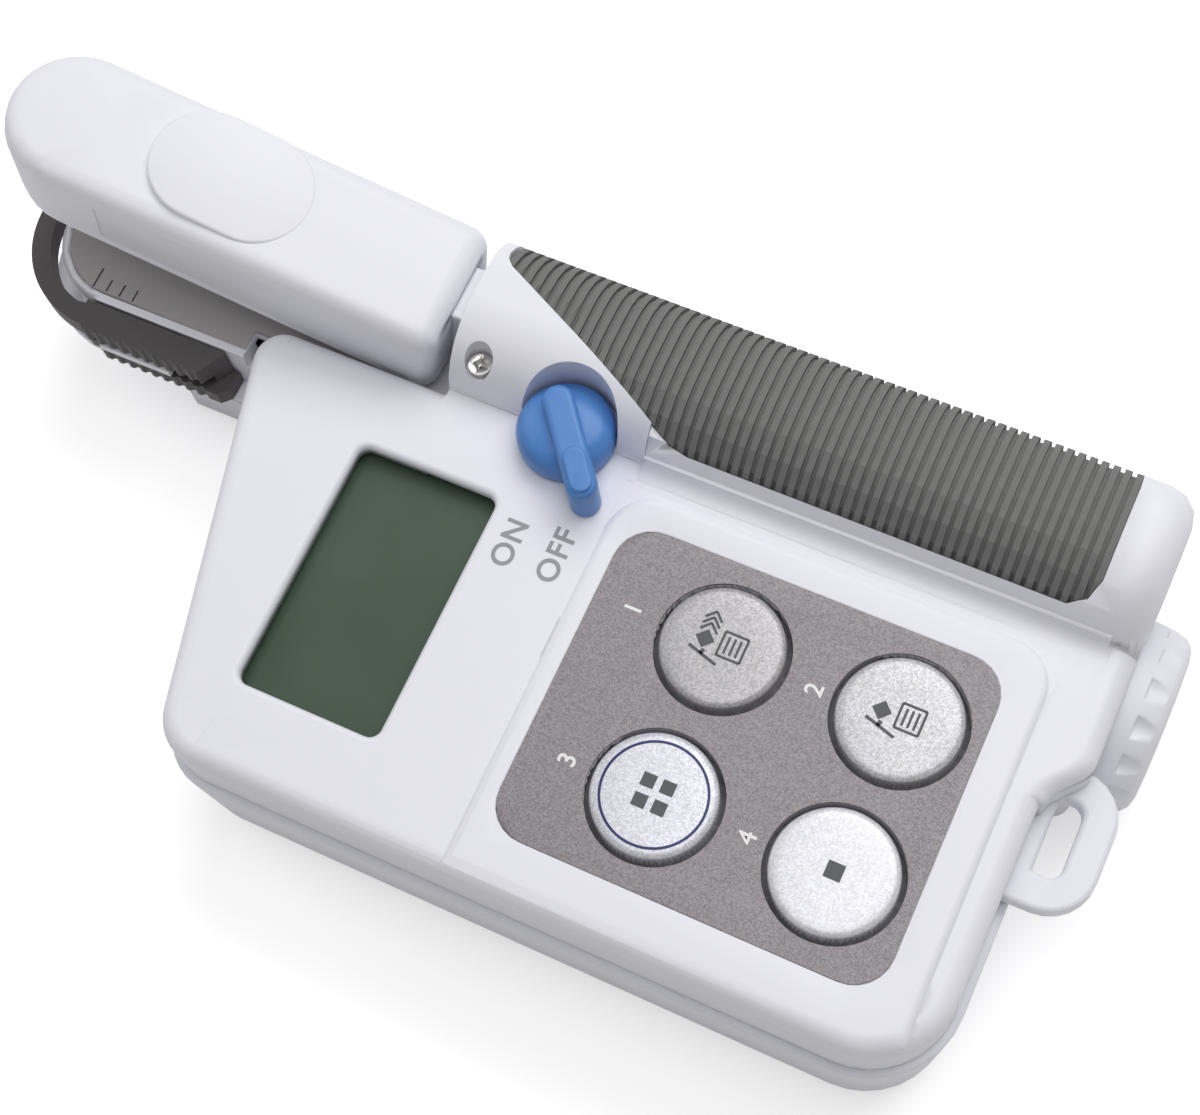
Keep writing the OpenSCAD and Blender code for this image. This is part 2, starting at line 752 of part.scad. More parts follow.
module power_lever() {
    z0 = face_z + gap;
    disc_h = 4.2;
    bar_z = face_z + 2.2;
    color(blue) translate([lever_px, lever_y, 0]) {
        rotate_extrude() polygon([
            [0, z0], [lever_r - 0.3, z0], [lever_r, z0 + 0.4], [lever_r, z0 + disc_h - 2.4],
            [lever_r - 0.5, z0 + disc_h - 1.3], [lever_r - 1.8, z0 + disc_h - 0.5], [lever_r * 0.4, z0 + disc_h], [0, z0 + disc_h]
        ]);
        // Shaft down to the switch
        translate([0, 0, roof_z - 3.4 + gap]) cylinder(r = 2.3, h = 5 + z0 - roof_z);
        // Finger bar with a raised oblong at its end
        rotate([0, 0, lever_dir]) {
            translate([-2.6, 0, bar_z]) cylinder(r = lever_w / 2, h = face_z + 6 - bar_z);
            translate([-2.6, -lever_w / 2, bar_z]) cube([lever_len - lever_w / 2 + 2.6, lever_w, face_z + 6 - bar_z]);
            translate([lever_len - lever_w / 2, 0, z0]) cylinder(r = lever_w / 2, h = face_z + 6 - z0);
            translate([lever_r - 1, -lever_w / 2, z0]) cube([lever_len - lever_w / 2 - lever_r + 1, lever_w, 3]);
            translate([lever_r - 1.2, -lever_w * 0.36, face_z + 5]) cube([4.4, lever_w * 0.72, 1.6]);
        }
    }
}

tube_left = end_x - 2 * cell_len - tube_end;

module battery_tube() {
    color([0.25, 0.25, 0.27])
        translate([tube_left, cell_y, cell_z])
            rotate([0, 90, 0])
                difference() {
                    cylinder(r = tube_out, h = end_x - cap_seat - 0.2 - tube_left);
                    translate([0, 0, 0.9]) cylinder(r = tube_in, h = handle_len + 40);
                }
}

module battery_cells() {
    color([0.3, 0.45, 0.35])
        for (k = [0, 1])
            translate([end_x - 2.1 - k * (cell_len - 0.3), cell_y, cell_z])
                rotate([0, -90, 0])
                    rotate_extrude() polygon([
                        [0, 0], [cell_r - 0.6, 0], [cell_r, 0.6], [cell_r, cell_len - 2.2],
                        [cell_r - 0.6, cell_len - 1.6], [2.7, cell_len - 1.6], [2.7, cell_len - 0.35], [0, cell_len - 0.35]
                    ]);
}

module battery_spring() {
    color("silver") translate([tube_left + 0.9, cell_y, cell_z])
        rotate([0, 90, 0]) {
            cylinder(r = 6, h = 0.4);
            for (k = [0:2])
                translate([0, 0, 0.8 + 0.8 * k])
                    rotate_extrude() translate([5 - 0.45 * k, 0]) circle(r = 0.5, $fn = 24);
            translate([0, 0, 2.8]) cylinder(r = 4.2, h = 0.6);
        }
}

module cap_contact() {
    color("silver") translate([end_x - 1.8, cell_y, cell_z])
        rotate([0, 90, 0]) {
            cylinder(r = 6.6, h = 0.8);
            cylinder(r = 2.5, h = 3);
        }
}

seal_in = 0.55;
module cap_seal() {
    color([0.1, 0.1, 0.1]) translate([end_x - 1.8 + seal_in, cell_y, cell_z])
        rotate([0, 90, 0])
            rotate_extrude() translate([cap_r - 2.6, 0]) circle(r = 0.6, $fn = 24);
}

module battery_cap() {
    x0 = end_x - 1.8;
    color(white) translate([x0, cell_y, cell_z])
        rotate([0, 90, 0])
            difference() {
                rotate_extrude() polygon([
                    [0, 1.1], [7, 1.1], [7, 0], [cap_r, 0], [cap_r, 2], [cap_r - 0.2, 4.6],
                    [cap_r - 0.7, 6.4], [cap_r - 1.6, 7.2], [cap_r - 2.6, cap_proud + 1.8], [0, cap_proud + 1.8]
                ]);
                translate([0, 0, -1]) cylinder(r = 2.5 + 0.05, h = 4.3);
                // Finger flutes round the rim
                for (k = [0:cap_flutes - 1])
                    rotate([0, 0, (k + 0.5) * 360 / cap_flutes])
                        translate([cap_r + 1.1, 0, 4])
                            cylinder(r = 2, h = 10);
                // Groove for the seal
                translate([0, 0, seal_in]) rotate_extrude() translate([cap_r - 2.6, 0]) circle(r = 0.62, $fn = 24);
            }
}

module strap_loop() {
    x1 = key_end_x + loop_reach;
    color(white) translate([0, loop_y, part_z]) difference() {
        union() {
            linear_extrude(loop_t) polygon(concat(
                arc_pts([x1 - 6, loop_w / 2 - 6], 6, 0, 90),
                [[key_end_x - wall - 1.8, loop_w / 2], [key_end_x - wall - 1.8, -loop_w / 2]],
                arc_pts([x1 - 6, -loop_w / 2 + 6], 6, 270, 360)
            ));
        }
        translate([0, 0, -1])
            linear_extrude(loop_t + 2) polygon(concat(
                arc_pts([x1 - loop_bar - 1.6, loop_w / 2 - loop_bar - 1.6], 1.6, 0, 90),
                arc_pts([key_end_x + 1.6, loop_w / 2 - loop_bar - 0.6], 0.6, 90, 180, 3),
                arc_pts([key_end_x + 1.6, -loop_w / 2 + loop_bar + 0.6], 0.6, 180, 270, 3),
                arc_pts([x1 - loop_bar - 1.6, -loop_w / 2 + loop_bar + 1.6], 1.6, 270, 360)
            ));
    }
}

eye_x = tip_x + 12.8;

module receptor_plate() {
    color([0.5, 0.48, 0.48]) difference() {
        translate([0, 0, base_z - plate_t])
            linear_extrude(plate_t) plate_outline(0);
        translate([eye_x, arm_y, base_z - 3])
            cylinder(r = eye_r + 0.05, h = 5);
    }
    // Scale marks of the depth stop
    color([0.3, 0.3, 0.3]) for (k = [0:3])
        translate([eye_x + 2.07 * k - 0.1, platform_y - platform_r + 1.6, base_z - 0.05])
            cube([0.2, k == 0 ? 3 : 1.8, 0.1]);
}

module gasket_profile() {
    polygon([
        [eye_r + 0.2, 0], [gasket_r, 0], [gasket_r, gasket_h * 0.5], [gasket_r - 0.35, gasket_h],
        [eye_r + 0.5, gasket_h], [eye_r + 0.2, gasket_h * 0.6]
    ]);
}

module receptor_gasket() {
    color([0.06, 0.06, 0.07])
        translate([eye_x, arm_y, base_z])
            rotate_extrude() gasket_profile();
}

module receptor_window() {
    color([0.3, 0.1, 0.1, 0.6])
        translate([eye_x, arm_y, base_z - plate_t - 0.5])
            cylinder(r = eye_r, h = plate_t + 0.3);
}

module photodiode() {
    color([0.15, 0.15, 0.15]) translate([eye_x - 2.5, arm_y - 2.5, base_z - plate_t - 2.5])
        cube([5, 5, 2]);
}

module receptor_board() {
    color("seagreen") translate([eye_x - 3.6, platform_y - 4.5, base_z - plate_t - 4.1])
        cube([24, 10.5, 1.6]);
}

stop_key_x = tip_x + stop_r + 6;
stop_key_len = 8;
stop_key_z = ledge_z + 5.4;

// Depth stop: a band round the tip, with a ribbed thumb block on the front leg
module depth_stop() {
    c = [tip_x + stop_r, tip_y];
    front = platform_y - platform_r - gap;
    z0 = ledge_z + gap;
    lip_z = base_z - 3;
    block_x0 = c[0] - 1.4;
    block_len = 21.5;
    color(dark_grey) difference() {
        union() {
            // Band round the tip
            translate([0, 0, base_z - 3.4])
                linear_extrude(3.2) polygon(concat(
                    [[c[0] + 14, c[1] + stop_r]],
                    arc_pts(c, stop_r, 90, 270, 16),
                    [[c[0] + 4, c[1] - stop_r], [c[0] + 4, front]],
                    arc_pts(c, stop_r - band_w, 270 - 12, 90, 16),
                    [[c[0] + 14, c[1] + stop_r - band_w]]
                ));
            // Thumb block
            translate([block_x0, 10, z0])
                cube([block_len, front - 10, base_z - z0 - 0.2]);
            // Key that runs in the lower arm's groove
            translate([stop_key_x, front - 1, stop_key_z])
                cube([stop_key_len, 1 + gap + 1, 2]);
        }
        // Slot between the upper and the lower lip
        translate([block_x0 + 2, 9, z0 + 2.8])
            cube([block_len - 4, front - 9 + 1, 1.9]);
        // Thumb serrations on both lips
        for (k = [0:9])
            translate([block_x0 + 1.6 + 2.05 * k, 9.7, z0 - 1])
                cylinder(r = 0.75, h = 12);
    }
}

pivot_x = hinge_x - pin_back;
pivot_z = base_z + pin_up;
lug_y = arm_y + 0.9 - lug_w / 2;

module hinge_bracket() {
    color(white) difference() {
        union() {
            translate([pivot_x, lug_y, pivot_z])
                rotate([-90, 0, 0]) cylinder(r = 4.6, h = lug_w);
            translate([pivot_x, lug_y, pivot_z - 3])
                cube([hinge_x - pivot_x + 6, lug_w, 3 + 4.6]);
            translate([hinge_x - 3, lug_y, base_z])
                cube([14, lug_w, grip_z - wall - base_z - 0.2]);
            translate([hinge_x - 3, lug_y, base_z - 5.8])
                cube([14, lug_w, 6]);
        }
        translate([pivot_x, lug_y - 1, pivot_z])
            rotate([-90, 0, 0]) cylinder(r = pin_r + 0.02, h = lug_w + 2);
    }
}

cheek_y0 = arm_y - arm_w / 2 + wall + seam;
cheek_y1 = arm_y + arm_w / 2 - wall - seam;
module hinge_pin() {
    color("silver")
        translate([pivot_x, cheek_y0 + 0.4, pivot_z])
            rotate([-90, 0, 0]) cylinder(r = pin_r, h = cheek_y1 - cheek_y0 - 0.8);
}

// Torsion spring round the pin, on the front side of the lug
spring_turns = 3;
spring_r = 2.6;
wire_r = 0.35;
module return_spring() {
    n = 18 * spring_turns;
    sides = 8;
    y0 = lug_y - 2.6;
    pitch = 0.72;
    pts = [for (i = [0:n], j = [0:sides - 1]) let (
        a = 360 * i / 18,
        b = 360 * j / sides,
        r = spring_r + wire_r * cos(b)
    ) [pivot_x + r * cos(a), y0 + pitch * i / 18 + wire_r * sin(b), pivot_z + r * sin(a)]];
    faces = concat(
        [[for (j = [0:sides - 1]) j]],
        [for (i = [0:n - 1], j = [0:sides - 1]) [
            i * sides + j, (i + 1) * sides + j, (i + 1) * sides + (j + 1) % sides, i * sides + (j + 1) % sides
        ]],
        [[for (j = [sides - 1:-1:0]) n * sides + j]]
    );
    color("silver") polyhedron(points = pts, faces = faces, convexity = 4);
}

// The arm is drawn closed and then swung open about its pin
module swung() {
    translate([pivot_x, 0, pivot_z])
        rotate([0, arm_open, 0])
            translate([-pivot_x, 0, -pivot_z]) children();
}

arm_z0 = base_z + arm_closed_gap;
arm_z1 = arm_z0 + arm_h;
arm_x1 = pivot_x + 4.35;
arm_x0 = arm_x1 - arm_len;
arm_r = arm_w / 2;
base_t = 2;
led_x = eye_x;

module arm_shape(z0, z1, e1, i) {
    hull() {
        corner_post(arm_x0 + arm_r, arm_y, arm_r - i, z0, z1, 0, e1, 0);
        corner_post(arm_x1 - 2.8, arm_y - arm_r + 2.8, 2.8 - i, z0, z1, 0, e1, 0);
        corner_post(arm_x1 - 2.8, arm_y + arm_r - 2.8, 2.8 - i, z0, z1, 0, e1, 0);
    }
}

module finger_rest() {
    cx = arm_x0 + 26;
    translate([0, 0, arm_z1 - 1])
        linear_extrude(1 + rest_h) polygon(concat(
            arc_pts([cx - rest_len / 2 + rest_w / 2, arm_y], rest_w / 2, 90, 270, 14),
            arc_pts([cx + rest_len / 2 - rest_w / 2, arm_y], rest_w / 2, 270, 450, 14)
        ));
}

module arm_cover() {
    color(white) swung() difference() {
        union() {
            arm_shape(arm_z0 + base_t + seam, arm_z1, 2.6, 0);
            finger_rest();
        }
        // Hollow over the light source
        translate([0, 0, arm_z0])
            linear_extrude(arm_h - wall - 0.6) polygon(concat(
                arc_pts([arm_x0 + arm_r, arm_y], arm_r - wall, 90, 270, 12),
                [[arm_x1 - 15, arm_y - arm_r + wall], [arm_x1 - 15, arm_y + arm_r - wall]]
            ));
        // Hollow round the hinge
        translate([pivot_x - 6.5, arm_y - arm_r + wall, arm_z0])
            cube([arm_x1 - 1.4 - pivot_x + 6.5, arm_w - 2 * wall, pivot_z + 5.8 - arm_z0]);
        translate([pivot_x - 1, lug_y - gap, arm_z0])
            cube([20, lug_w + 2 * gap, arm_h - wall]);
    }
    // Bosses that take the arm screws
    color(white) swung() for (p = arm_screw_spots)
        translate([p[0], p[1], arm_z0 + base_t + seam])
            difference() {
                cylinder(r = 2.1, h = arm_h - base_t - wall - 0.4);
                translate([0, 0, -1]) cylinder(r = arm_screw_r + 0.03, h = 5);
            }
}

module arm_base() {
    color(white) swung() difference() {
        union() {
            arm_shape(arm_z0, arm_z0 + base_t, 0, 0.15);
            for (y = [[cheek_y0, lug_y - gap], [lug_y + lug_w + gap, cheek_y1]])
                translate([pivot_x - 3.4, y[0], arm_z0 + 0.5])
                    cube([3.4 + 2.6, y[1] - y[0], pivot_z + 3.4 - arm_z0]);
        }
        // Slot for the lug
        translate([pivot_x - 6.5, lug_y - gap, arm_z0 - 3])
            cube([20, lug_w + 2 * gap, 30]);
        // Pin bores
        translate([pivot_x, arm_y - 12, pivot_z])
            rotate([-90, 0, 0]) cylinder(r = pin_r + 0.04, h = 24);
        // Room for the spring
        translate([pivot_x, lug_y - 3.2, pivot_z])
            rotate([-90, 0, 0]) cylinder(r = spring_r + 0.8, h = 3.2);
        // Light passage
        translate([led_x, arm_y, arm_z0 - 1])
            cylinder(r = eye_r + 0.05, h = 6);
        for (p = arm_screw_spots)
            translate([p[0], p[1], arm_z0 - 1]) {
                cylinder(r = arm_screw_r + 0.1, h = 6);
                cylinder(r = 1.7, h = 2);
            }
    }
}

arm_screw_spots = [[arm_x0 + 34, arm_y - 4.8], [arm_x0 + 43, arm_y + 4.8]];
arm_screw_r = 0.75;

module arm_screws() {
    color("silver") swung() for (p = arm_screw_spots)
        translate([p[0], p[1], arm_z0 + 0.95])
            rotate([180, 0, 0])
                screw(arm_screw_r, 1.5, 0.8, 4);
}

module led_board() {
    color("seagreen") swung()
        translate([led_x - 4, arm_y - 6, arm_z0 + base_t + 3.2])
            cube([22, 12, 1.2]);
}

module led_block() {
    color([0.12, 0.12, 0.13]) swung() difference() {
        translate([led_x - 4.5, arm_y - 4.5, arm_z0 + base_t + seam])
            cube([9, 9, 3]);
        translate([led_x, arm_y, arm_z0])
            cylinder(r = eye_r - 0.2, h = 10);
    }
}

module led_window() {
    color([0.6, 0.1, 0.1, 0.6]) swung()
        translate([led_x, arm_y, arm_z0 + 0.4])
            cylinder(r = eye_r, h = base_t - 0.4 + seam);
}

module led_gasket() {
    color([0.06, 0.06, 0.07]) swung()
        translate([led_x, arm_y, arm_z0])
            rotate([180, 0, 0]) rotate_extrude() gasket_profile();
}

rear_cover();
front_cover();
hinge_cover();
grip_cover();
cover_screw();
case_screws();
display_lens();
lcd_panel();
lcd_frame();
keypad_overlay();
keypad_mat();
main_board();
buzzer();
key_clear_all();
key_delete_one();
key_average();
key_recall();
switch_base();
power_lever();
switch_rotor();
battery_tube();
battery_cells();
battery_spring();
cap_contact();
cap_seal();
battery_cap();
strap_loop();
receptor_plate();
receptor_gasket();
receptor_window();
photodiode();
receptor_board();
depth_stop();
hinge_bracket();
hinge_pin();
return_spring();
arm_cover();
arm_base();
arm_screws();
led_board();
led_block();
led_window();
led_gasket();
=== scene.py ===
import json
from math import cos, pi, radians, sin

import bmesh
import bpy
from mathutils import Matrix, Vector


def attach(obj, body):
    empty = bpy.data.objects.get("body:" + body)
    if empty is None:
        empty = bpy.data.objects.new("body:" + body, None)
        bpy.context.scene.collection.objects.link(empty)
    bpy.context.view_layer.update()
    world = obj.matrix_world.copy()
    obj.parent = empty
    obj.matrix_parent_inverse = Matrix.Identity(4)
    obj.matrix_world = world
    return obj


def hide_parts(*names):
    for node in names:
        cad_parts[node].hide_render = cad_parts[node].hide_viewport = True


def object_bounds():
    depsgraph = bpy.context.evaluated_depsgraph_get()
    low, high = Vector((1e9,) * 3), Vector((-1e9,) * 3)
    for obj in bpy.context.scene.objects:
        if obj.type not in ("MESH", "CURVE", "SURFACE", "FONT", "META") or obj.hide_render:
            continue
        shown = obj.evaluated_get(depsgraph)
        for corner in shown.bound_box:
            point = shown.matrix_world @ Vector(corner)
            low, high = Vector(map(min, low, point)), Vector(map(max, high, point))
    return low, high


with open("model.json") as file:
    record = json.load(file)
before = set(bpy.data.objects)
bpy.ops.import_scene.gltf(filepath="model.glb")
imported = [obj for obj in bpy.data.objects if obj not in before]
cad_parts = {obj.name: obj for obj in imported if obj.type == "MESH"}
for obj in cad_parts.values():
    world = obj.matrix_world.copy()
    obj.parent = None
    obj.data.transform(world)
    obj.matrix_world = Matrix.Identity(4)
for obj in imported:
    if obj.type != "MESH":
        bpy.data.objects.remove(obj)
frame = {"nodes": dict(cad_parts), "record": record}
cad_low, cad_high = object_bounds()
scene = bpy.context.scene
scene.view_settings.view_transform = "Standard"

# Camera
# The photograph looks down on the key face from above the key end, with the meter lying
# on its back and turned so that its head points to the upper left.
camera = bpy.data.objects.new("camera", bpy.data.cameras.new("camera"))
camera_right = Vector((0.9037, 0.4193, -0.0863))
camera_back = Vector((0.2283, -0.3015, 0.9257))
camera_up = camera_back.cross(camera_right)
camera.matrix_world = Matrix.LocRotScale(
    Vector((0.07259, -0.07424, 0.27329)),
    Matrix((camera_right, camera_up, camera_back)).transposed(),
    None,
)
camera.data.lens = 64.245
camera.data.sensor_width = 36
camera.data.sensor_fit = "HORIZONTAL"
scene.collection.objects.link(camera)
scene.camera = camera

# Studio
# A white table top under broad soft light from above, as in a catalogue picture. The table
# shows as plain white to the camera and keeps the meter's soft shadow.
def feed(tree, node, inputs):
    """Gives each named input of a node its value, or the output that feeds it."""
    for socket, value in inputs.items():
        if isinstance(value, bpy.types.NodeSocket):
            tree.links.new(value, node.inputs[socket])
        else:
            node.inputs[socket].default_value = value


def add_node(tree, kind, inputs=None, **settings):
    node = tree.nodes.new(kind)
    for name, value in settings.items():
        setattr(node, name, value)
    feed(tree, node, inputs or {})
    return node


def new_material(name):
    """A material, with its node tree and its shader."""
    material = bpy.data.materials.new(name)
    material.use_nodes = True
    return material, material.node_tree, material.node_tree.nodes["Principled BSDF"]


def softbox(name, place, size, power):
    """A soft lamp that points at the middle of the frame."""
    lamp = bpy.data.objects.new(name, bpy.data.lights.new(name, "AREA"))
    lamp.data.shape = "RECTANGLE"
    lamp.data.size, lamp.data.size_y = size
    lamp.data.energy = power
    turn = (-Vector(place)).to_track_quat("-Z", "Y")
    lamp.matrix_world = Matrix.LocRotScale(Vector(place), turn, None)
    scene.collection.objects.link(lamp)


softbox("rear_softbox", (0.08, 0.42, 0.62), (0.7, 0.4), 2.85)
softbox("front_softbox", (0.05, -0.02, 0.80), (0.45, 0.3), 1.3)
softbox("left_softbox", (-0.7, 0.1, 0.45), (0.4, 0.5), 0.75)

room_light = 0.41
backdrop_white = 1.0
world = bpy.data.worlds.new("studio")
scene.world = world
world.use_nodes = True
sky = world.node_tree
sky.nodes.clear()
sky_seen = add_node(sky, "ShaderNodeLightPath")
sky_direct = add_node(
    sky, "ShaderNodeMath",
    {0: sky_seen.outputs["Is Camera Ray"], 1: sky_seen.outputs["Is Transmission Ray"]},
    operation="MAXIMUM",
)
sky_level = add_node(
    sky, "ShaderNodeMapRange",
    {"Value": sky_direct.outputs[0], "To Min": room_light, "To Max": backdrop_white},
)
backdrop = add_node(sky, "ShaderNodeBackground", {"Strength": sky_level.outputs[0]})
add_node(sky, "ShaderNodeOutputWorld", {"Surface": backdrop.outputs[0]})

table_reach = 4.0
table_drop = 0.0001
table_form = bmesh.new()
bmesh.ops.create_grid(table_form, x_segments=1, y_segments=1, size=table_reach)
bmesh.ops.translate(table_form, verts=table_form.verts, vec=(0, 0, cad_low.z - table_drop))
table_mesh = bpy.data.meshes.new("table_top")
table_form.to_mesh(table_mesh)
table_form.free()
table_top = bpy.data.objects.new("table_top", table_mesh)
scene.collection.objects.link(table_top)
table_white, table_nodes, table_shader = new_material("table_white")
table_seen = add_node(table_nodes, "ShaderNodeLightPath")
table_glow = add_node(
    table_nodes, "ShaderNodeMath", {0: table_seen.outputs["Is Camera Ray"], 1: 0.4},
    operation="MULTIPLY",
)
feed(table_nodes, table_shader, {
    "Base Color": (0.9, 0.9, 0.9, 1),
    "Roughness": 0.9,
    "Emission Color": (1, 1, 1, 1),
    "Emission Strength": table_glow.outputs[0],
})
table_mesh.materials.append(table_white)


# Housing
# Rear cover, front cover, hinge cover, arm shells, battery cap and strap loop are injection
# moulded in one cool white plastic with a fine spark-eroded grain, so they share a finish.
def srgb(red, green, blue):
    channels = [c / 255 for c in (red, green, blue)]
    linear = (c / 12.92 if c < 0.04045 else ((c + 0.055) / 1.055) ** 2.4 for c in channels)
    return tuple(linear) + (1,)


def new_group(name, inputs, outputs):
    group = bpy.data.node_groups.new(name, "ShaderNodeTree")
    for socket, default in inputs.items():
        kind = "NodeSocketColor" if isinstance(default, tuple) else "NodeSocketFloat"
        made = group.interface.new_socket(socket, in_out="INPUT", socket_type=kind)
        made.default_value = default
    for socket, kind in outputs.items():
        group.interface.new_socket(socket, in_out="OUTPUT", socket_type=kind)
    return group, add_node(group, "NodeGroupInput"), add_node(group, "NodeGroupOutput")


# Fine moulded grain: a shallow pebbled relief, with a faint slow mottle in shade and gloss
moulded_grain, grain_in, grain_out = new_group(
    "moulded grain",
    {"Color": (0.8, 0.8, 0.8, 1.0), "Grain Size": 0.0003, "Grain Depth": 0.1, "Mottle": 0.02,
     "Roughness": 0.5},
    {"Color": "NodeSocketColor", "Roughness": "NodeSocketFloat", "Normal": "NodeSocketVector"},
)
grain_relief = 0.00005
mottle_scale = 90.0
mottle_on_gloss = 3.0
grain_place = add_node(moulded_grain, "ShaderNodeTexCoord").outputs["Object"]
grain_scale = add_node(
    moulded_grain, "ShaderNodeMath", {0: 1.0, 1: grain_in.outputs["Grain Size"]},
    operation="DIVIDE",
)
pebbles = add_node(
    moulded_grain, "ShaderNodeTexNoise",
    {"Vector": grain_place, "Scale": grain_scale.outputs[0], "Detail": 3.0},
)
relief = add_node(
    moulded_grain, "ShaderNodeBump",
    {"Distance": grain_relief, "Strength": grain_in.outputs["Grain Depth"],
     "Height": pebbles.outputs["Fac"]},
)
mottle_noise = add_node(
    moulded_grain, "ShaderNodeTexNoise",
    {"Vector": grain_place, "Scale": mottle_scale, "Detail": 4.0},
)
mottle_centre = add_node(
    moulded_grain, "ShaderNodeMath", {0: mottle_noise.outputs["Fac"], 1: 0.5},
    operation="SUBTRACT",
)
mottle_amount = add_node(
    moulded_grain, "ShaderNodeMath",
    {0: mottle_centre.outputs[0], 1: grain_in.outputs["Mottle"]}, operation="MULTIPLY",
)
mottle_gain = add_node(
    moulded_grain, "ShaderNodeMath", {0: mottle_amount.outputs[0], 1: 1.0}, operation="ADD",
)
shaded = add_node(
    moulded_grain, "ShaderNodeVectorMath",
    {0: grain_in.outputs["Color"], "Scale": mottle_gain.outputs[0]}, operation="SCALE",
)
gloss_change = add_node(
    moulded_grain, "ShaderNodeMath",
    {0: mottle_amount.outputs[0], 1: mottle_on_gloss, 2: grain_in.outputs["Roughness"]},
    operation="MULTIPLY_ADD",
)
feed(moulded_grain, grain_out, {
    "Color": shaded.outputs[0],
    "Roughness": gloss_change.outputs[0],
    "Normal": relief.outputs[0],
})


def moulding(name, color, roughness, size=0.0003, depth=0.1, mottle=0.02, specular=0.4):
    """A moulded plastic or rubber with the shared grain."""
    finish, nodes, shader = new_material(name)
    grain = add_node(
        nodes, "ShaderNodeGroup",
        {"Color": color, "Grain Size": size, "Grain Depth": depth, "Mottle": mottle,
         "Roughness": roughness},
        node_tree=moulded_grain,
    )
    feed(nodes, shader, {
        "Base Color": grain.outputs["Color"],
        "Roughness": grain.outputs["Roughness"],
        "Normal": grain.outputs["Normal"],
        "Specular IOR Level": specular,
    })
    return finish


body_of_node = {n: b for b, names in frame["record"]["behaviour"]["bodies"].items() for n in names}
slot_of_node = {part["node"]: part["material_slot"] for part in frame["record"]["subparts"]}


def place_piece(name, form, body, finish, smooth=38):
    """Turns a bmesh into a piece that rides on a body, smooth across edges under that angle."""
    mesh = bpy.data.meshes.new(name)
    form.to_mesh(mesh)
    form.free()
    mesh.materials.append(finish)
    mesh.shade_smooth()
    mesh.set_sharp_from_angle(angle=radians(smooth))
    piece = bpy.data.objects.new(name, mesh)
    scene.collection.objects.link(piece)
    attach(piece, body)
    return piece


def merged_copy(node):
    form = bmesh.new()
    form.from_mesh(frame["nodes"][node].data)
    bmesh.ops.remove_doubles(form, verts=form.verts, dist=2e-6)
    return form


def stand_in(node, form, finish, smooth=38, edge=0.0):
    """A shell that stands for a CAD node: the same surface with its facets joined, so that it
    shades as one smooth moulding, and with its sharp edges broken where it has an edge radius."""
    body, slot = body_of_node[node], slot_of_node[node]
    piece = place_piece(node + "_shell", form, body, finish, smooth)
    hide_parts(node)
    if edge:
        rounding = piece.modifiers.new("broken_edges", "BEVEL")
        rounding.width = edge
        rounding.segments = 3
        rounding.limit_method = "ANGLE"
        rounding.angle_limit = radians(44)
        rounding.use_clamp_overlap = False
    flats = piece.modifiers.new("even_flats", "WEIGHTED_NORMAL")
    flats.keep_sharp = True
    return piece


def dress(node, finish, smooth=38, edge=0.0):
    return stand_in(node, merged_copy(node), finish, smooth, edge)


def loft(rings):
    """A closed form through rings of points, given in millimetres."""
    form = bmesh.new()
    levels = [[form.verts.new(Vector(point) / 1000) for point in ring] for ring in rings]
    for low, high in zip(levels, levels[1:]):
        for i in range(len(low)):
            j = (i + 1) % len(low)
            form.faces.new((low[i], low[j], high[j], high[i]))
    form.faces.new(levels[0])
    form.faces.new(levels[-1])
    form.normal_update()
    bmesh.ops.recalc_face_normals(form, faces=form.faces)
    return form


def arc(centre, radius, start, end, steps):
    return [
        (centre[0] + radius * cos(radians(start + (end - start) * i / steps)),
         centre[1] + radius * sin(radians(start + (end - start) * i / steps)))
        for i in range(steps + 1)
    ]


def upright(outline, low, high):
    """A plan outline drawn up from one level to another, in millimetres."""
    return loft([[(x, y, level) for x, y in outline] for level in (low, high)])


def rounded_block(corners, low, high, edge):
    """The hull of upright posts (x, y, radius) with a rounded top edge, in millimetres."""
    form = bmesh.new()
    levels = [(0, low)]
    for step in range(7):
        turn = step * pi / 12
        levels.append((edge * (1 - sin(turn)), high - edge * (1 - cos(turn))))
    for x, y, radius in corners:
        for inward, level in levels:
            reach = radius - inward
            for step in range(48):
                turn = step * pi / 24
                form.verts.new(Vector((x + reach * cos(turn), y + reach * sin(turn), level)) / 1000)
    hull = bmesh.ops.convex_hull(form, input=form.verts)
    inside = hull["geom_interior"] + hull["geom_unused"]
    spare = {vert for vert in inside if isinstance(vert, bmesh.types.BMVert)}
    bmesh.ops.delete(form, geom=list(spare), context="VERTS")
    form.normal_update()
    bmesh.ops.recalc_face_normals(form, faces=form.faces)
    return form


def combine(form, other, operation):
    """Joins another form to a form, or cuts it away."""
    working = []
    for source in (form, other):
        mesh = bpy.data.meshes.new("working")
        source.to_mesh(mesh)
        source.free()
        working.append(bpy.data.objects.new("working", mesh))
        scene.collection.objects.link(working[-1])
    step = working[0].modifiers.new("combine", "BOOLEAN")
    step.operation = operation
    step.solver = "EXACT"
    step.object = working[1]
    result = bmesh.new()
    result.from_object(working[0], bpy.context.evaluated_depsgraph_get())
    for piece in working:
        mesh = piece.data
        bpy.data.objects.remove(piece)
        bpy.data.meshes.remove(mesh)
    return result


white_plastic = moulding("white_plastic", srgb(233, 233, 240), 0.42, 0.0004, 0.12, 0.015, 0.45)
for cover, edge in (("arm_base", 0.0), ("strap_loop", 0.0006), ("hinge_bracket", 0.0004),
                    ("battery_cap", 0.0002)):
    dress(cover, white_plastic, edge=edge)

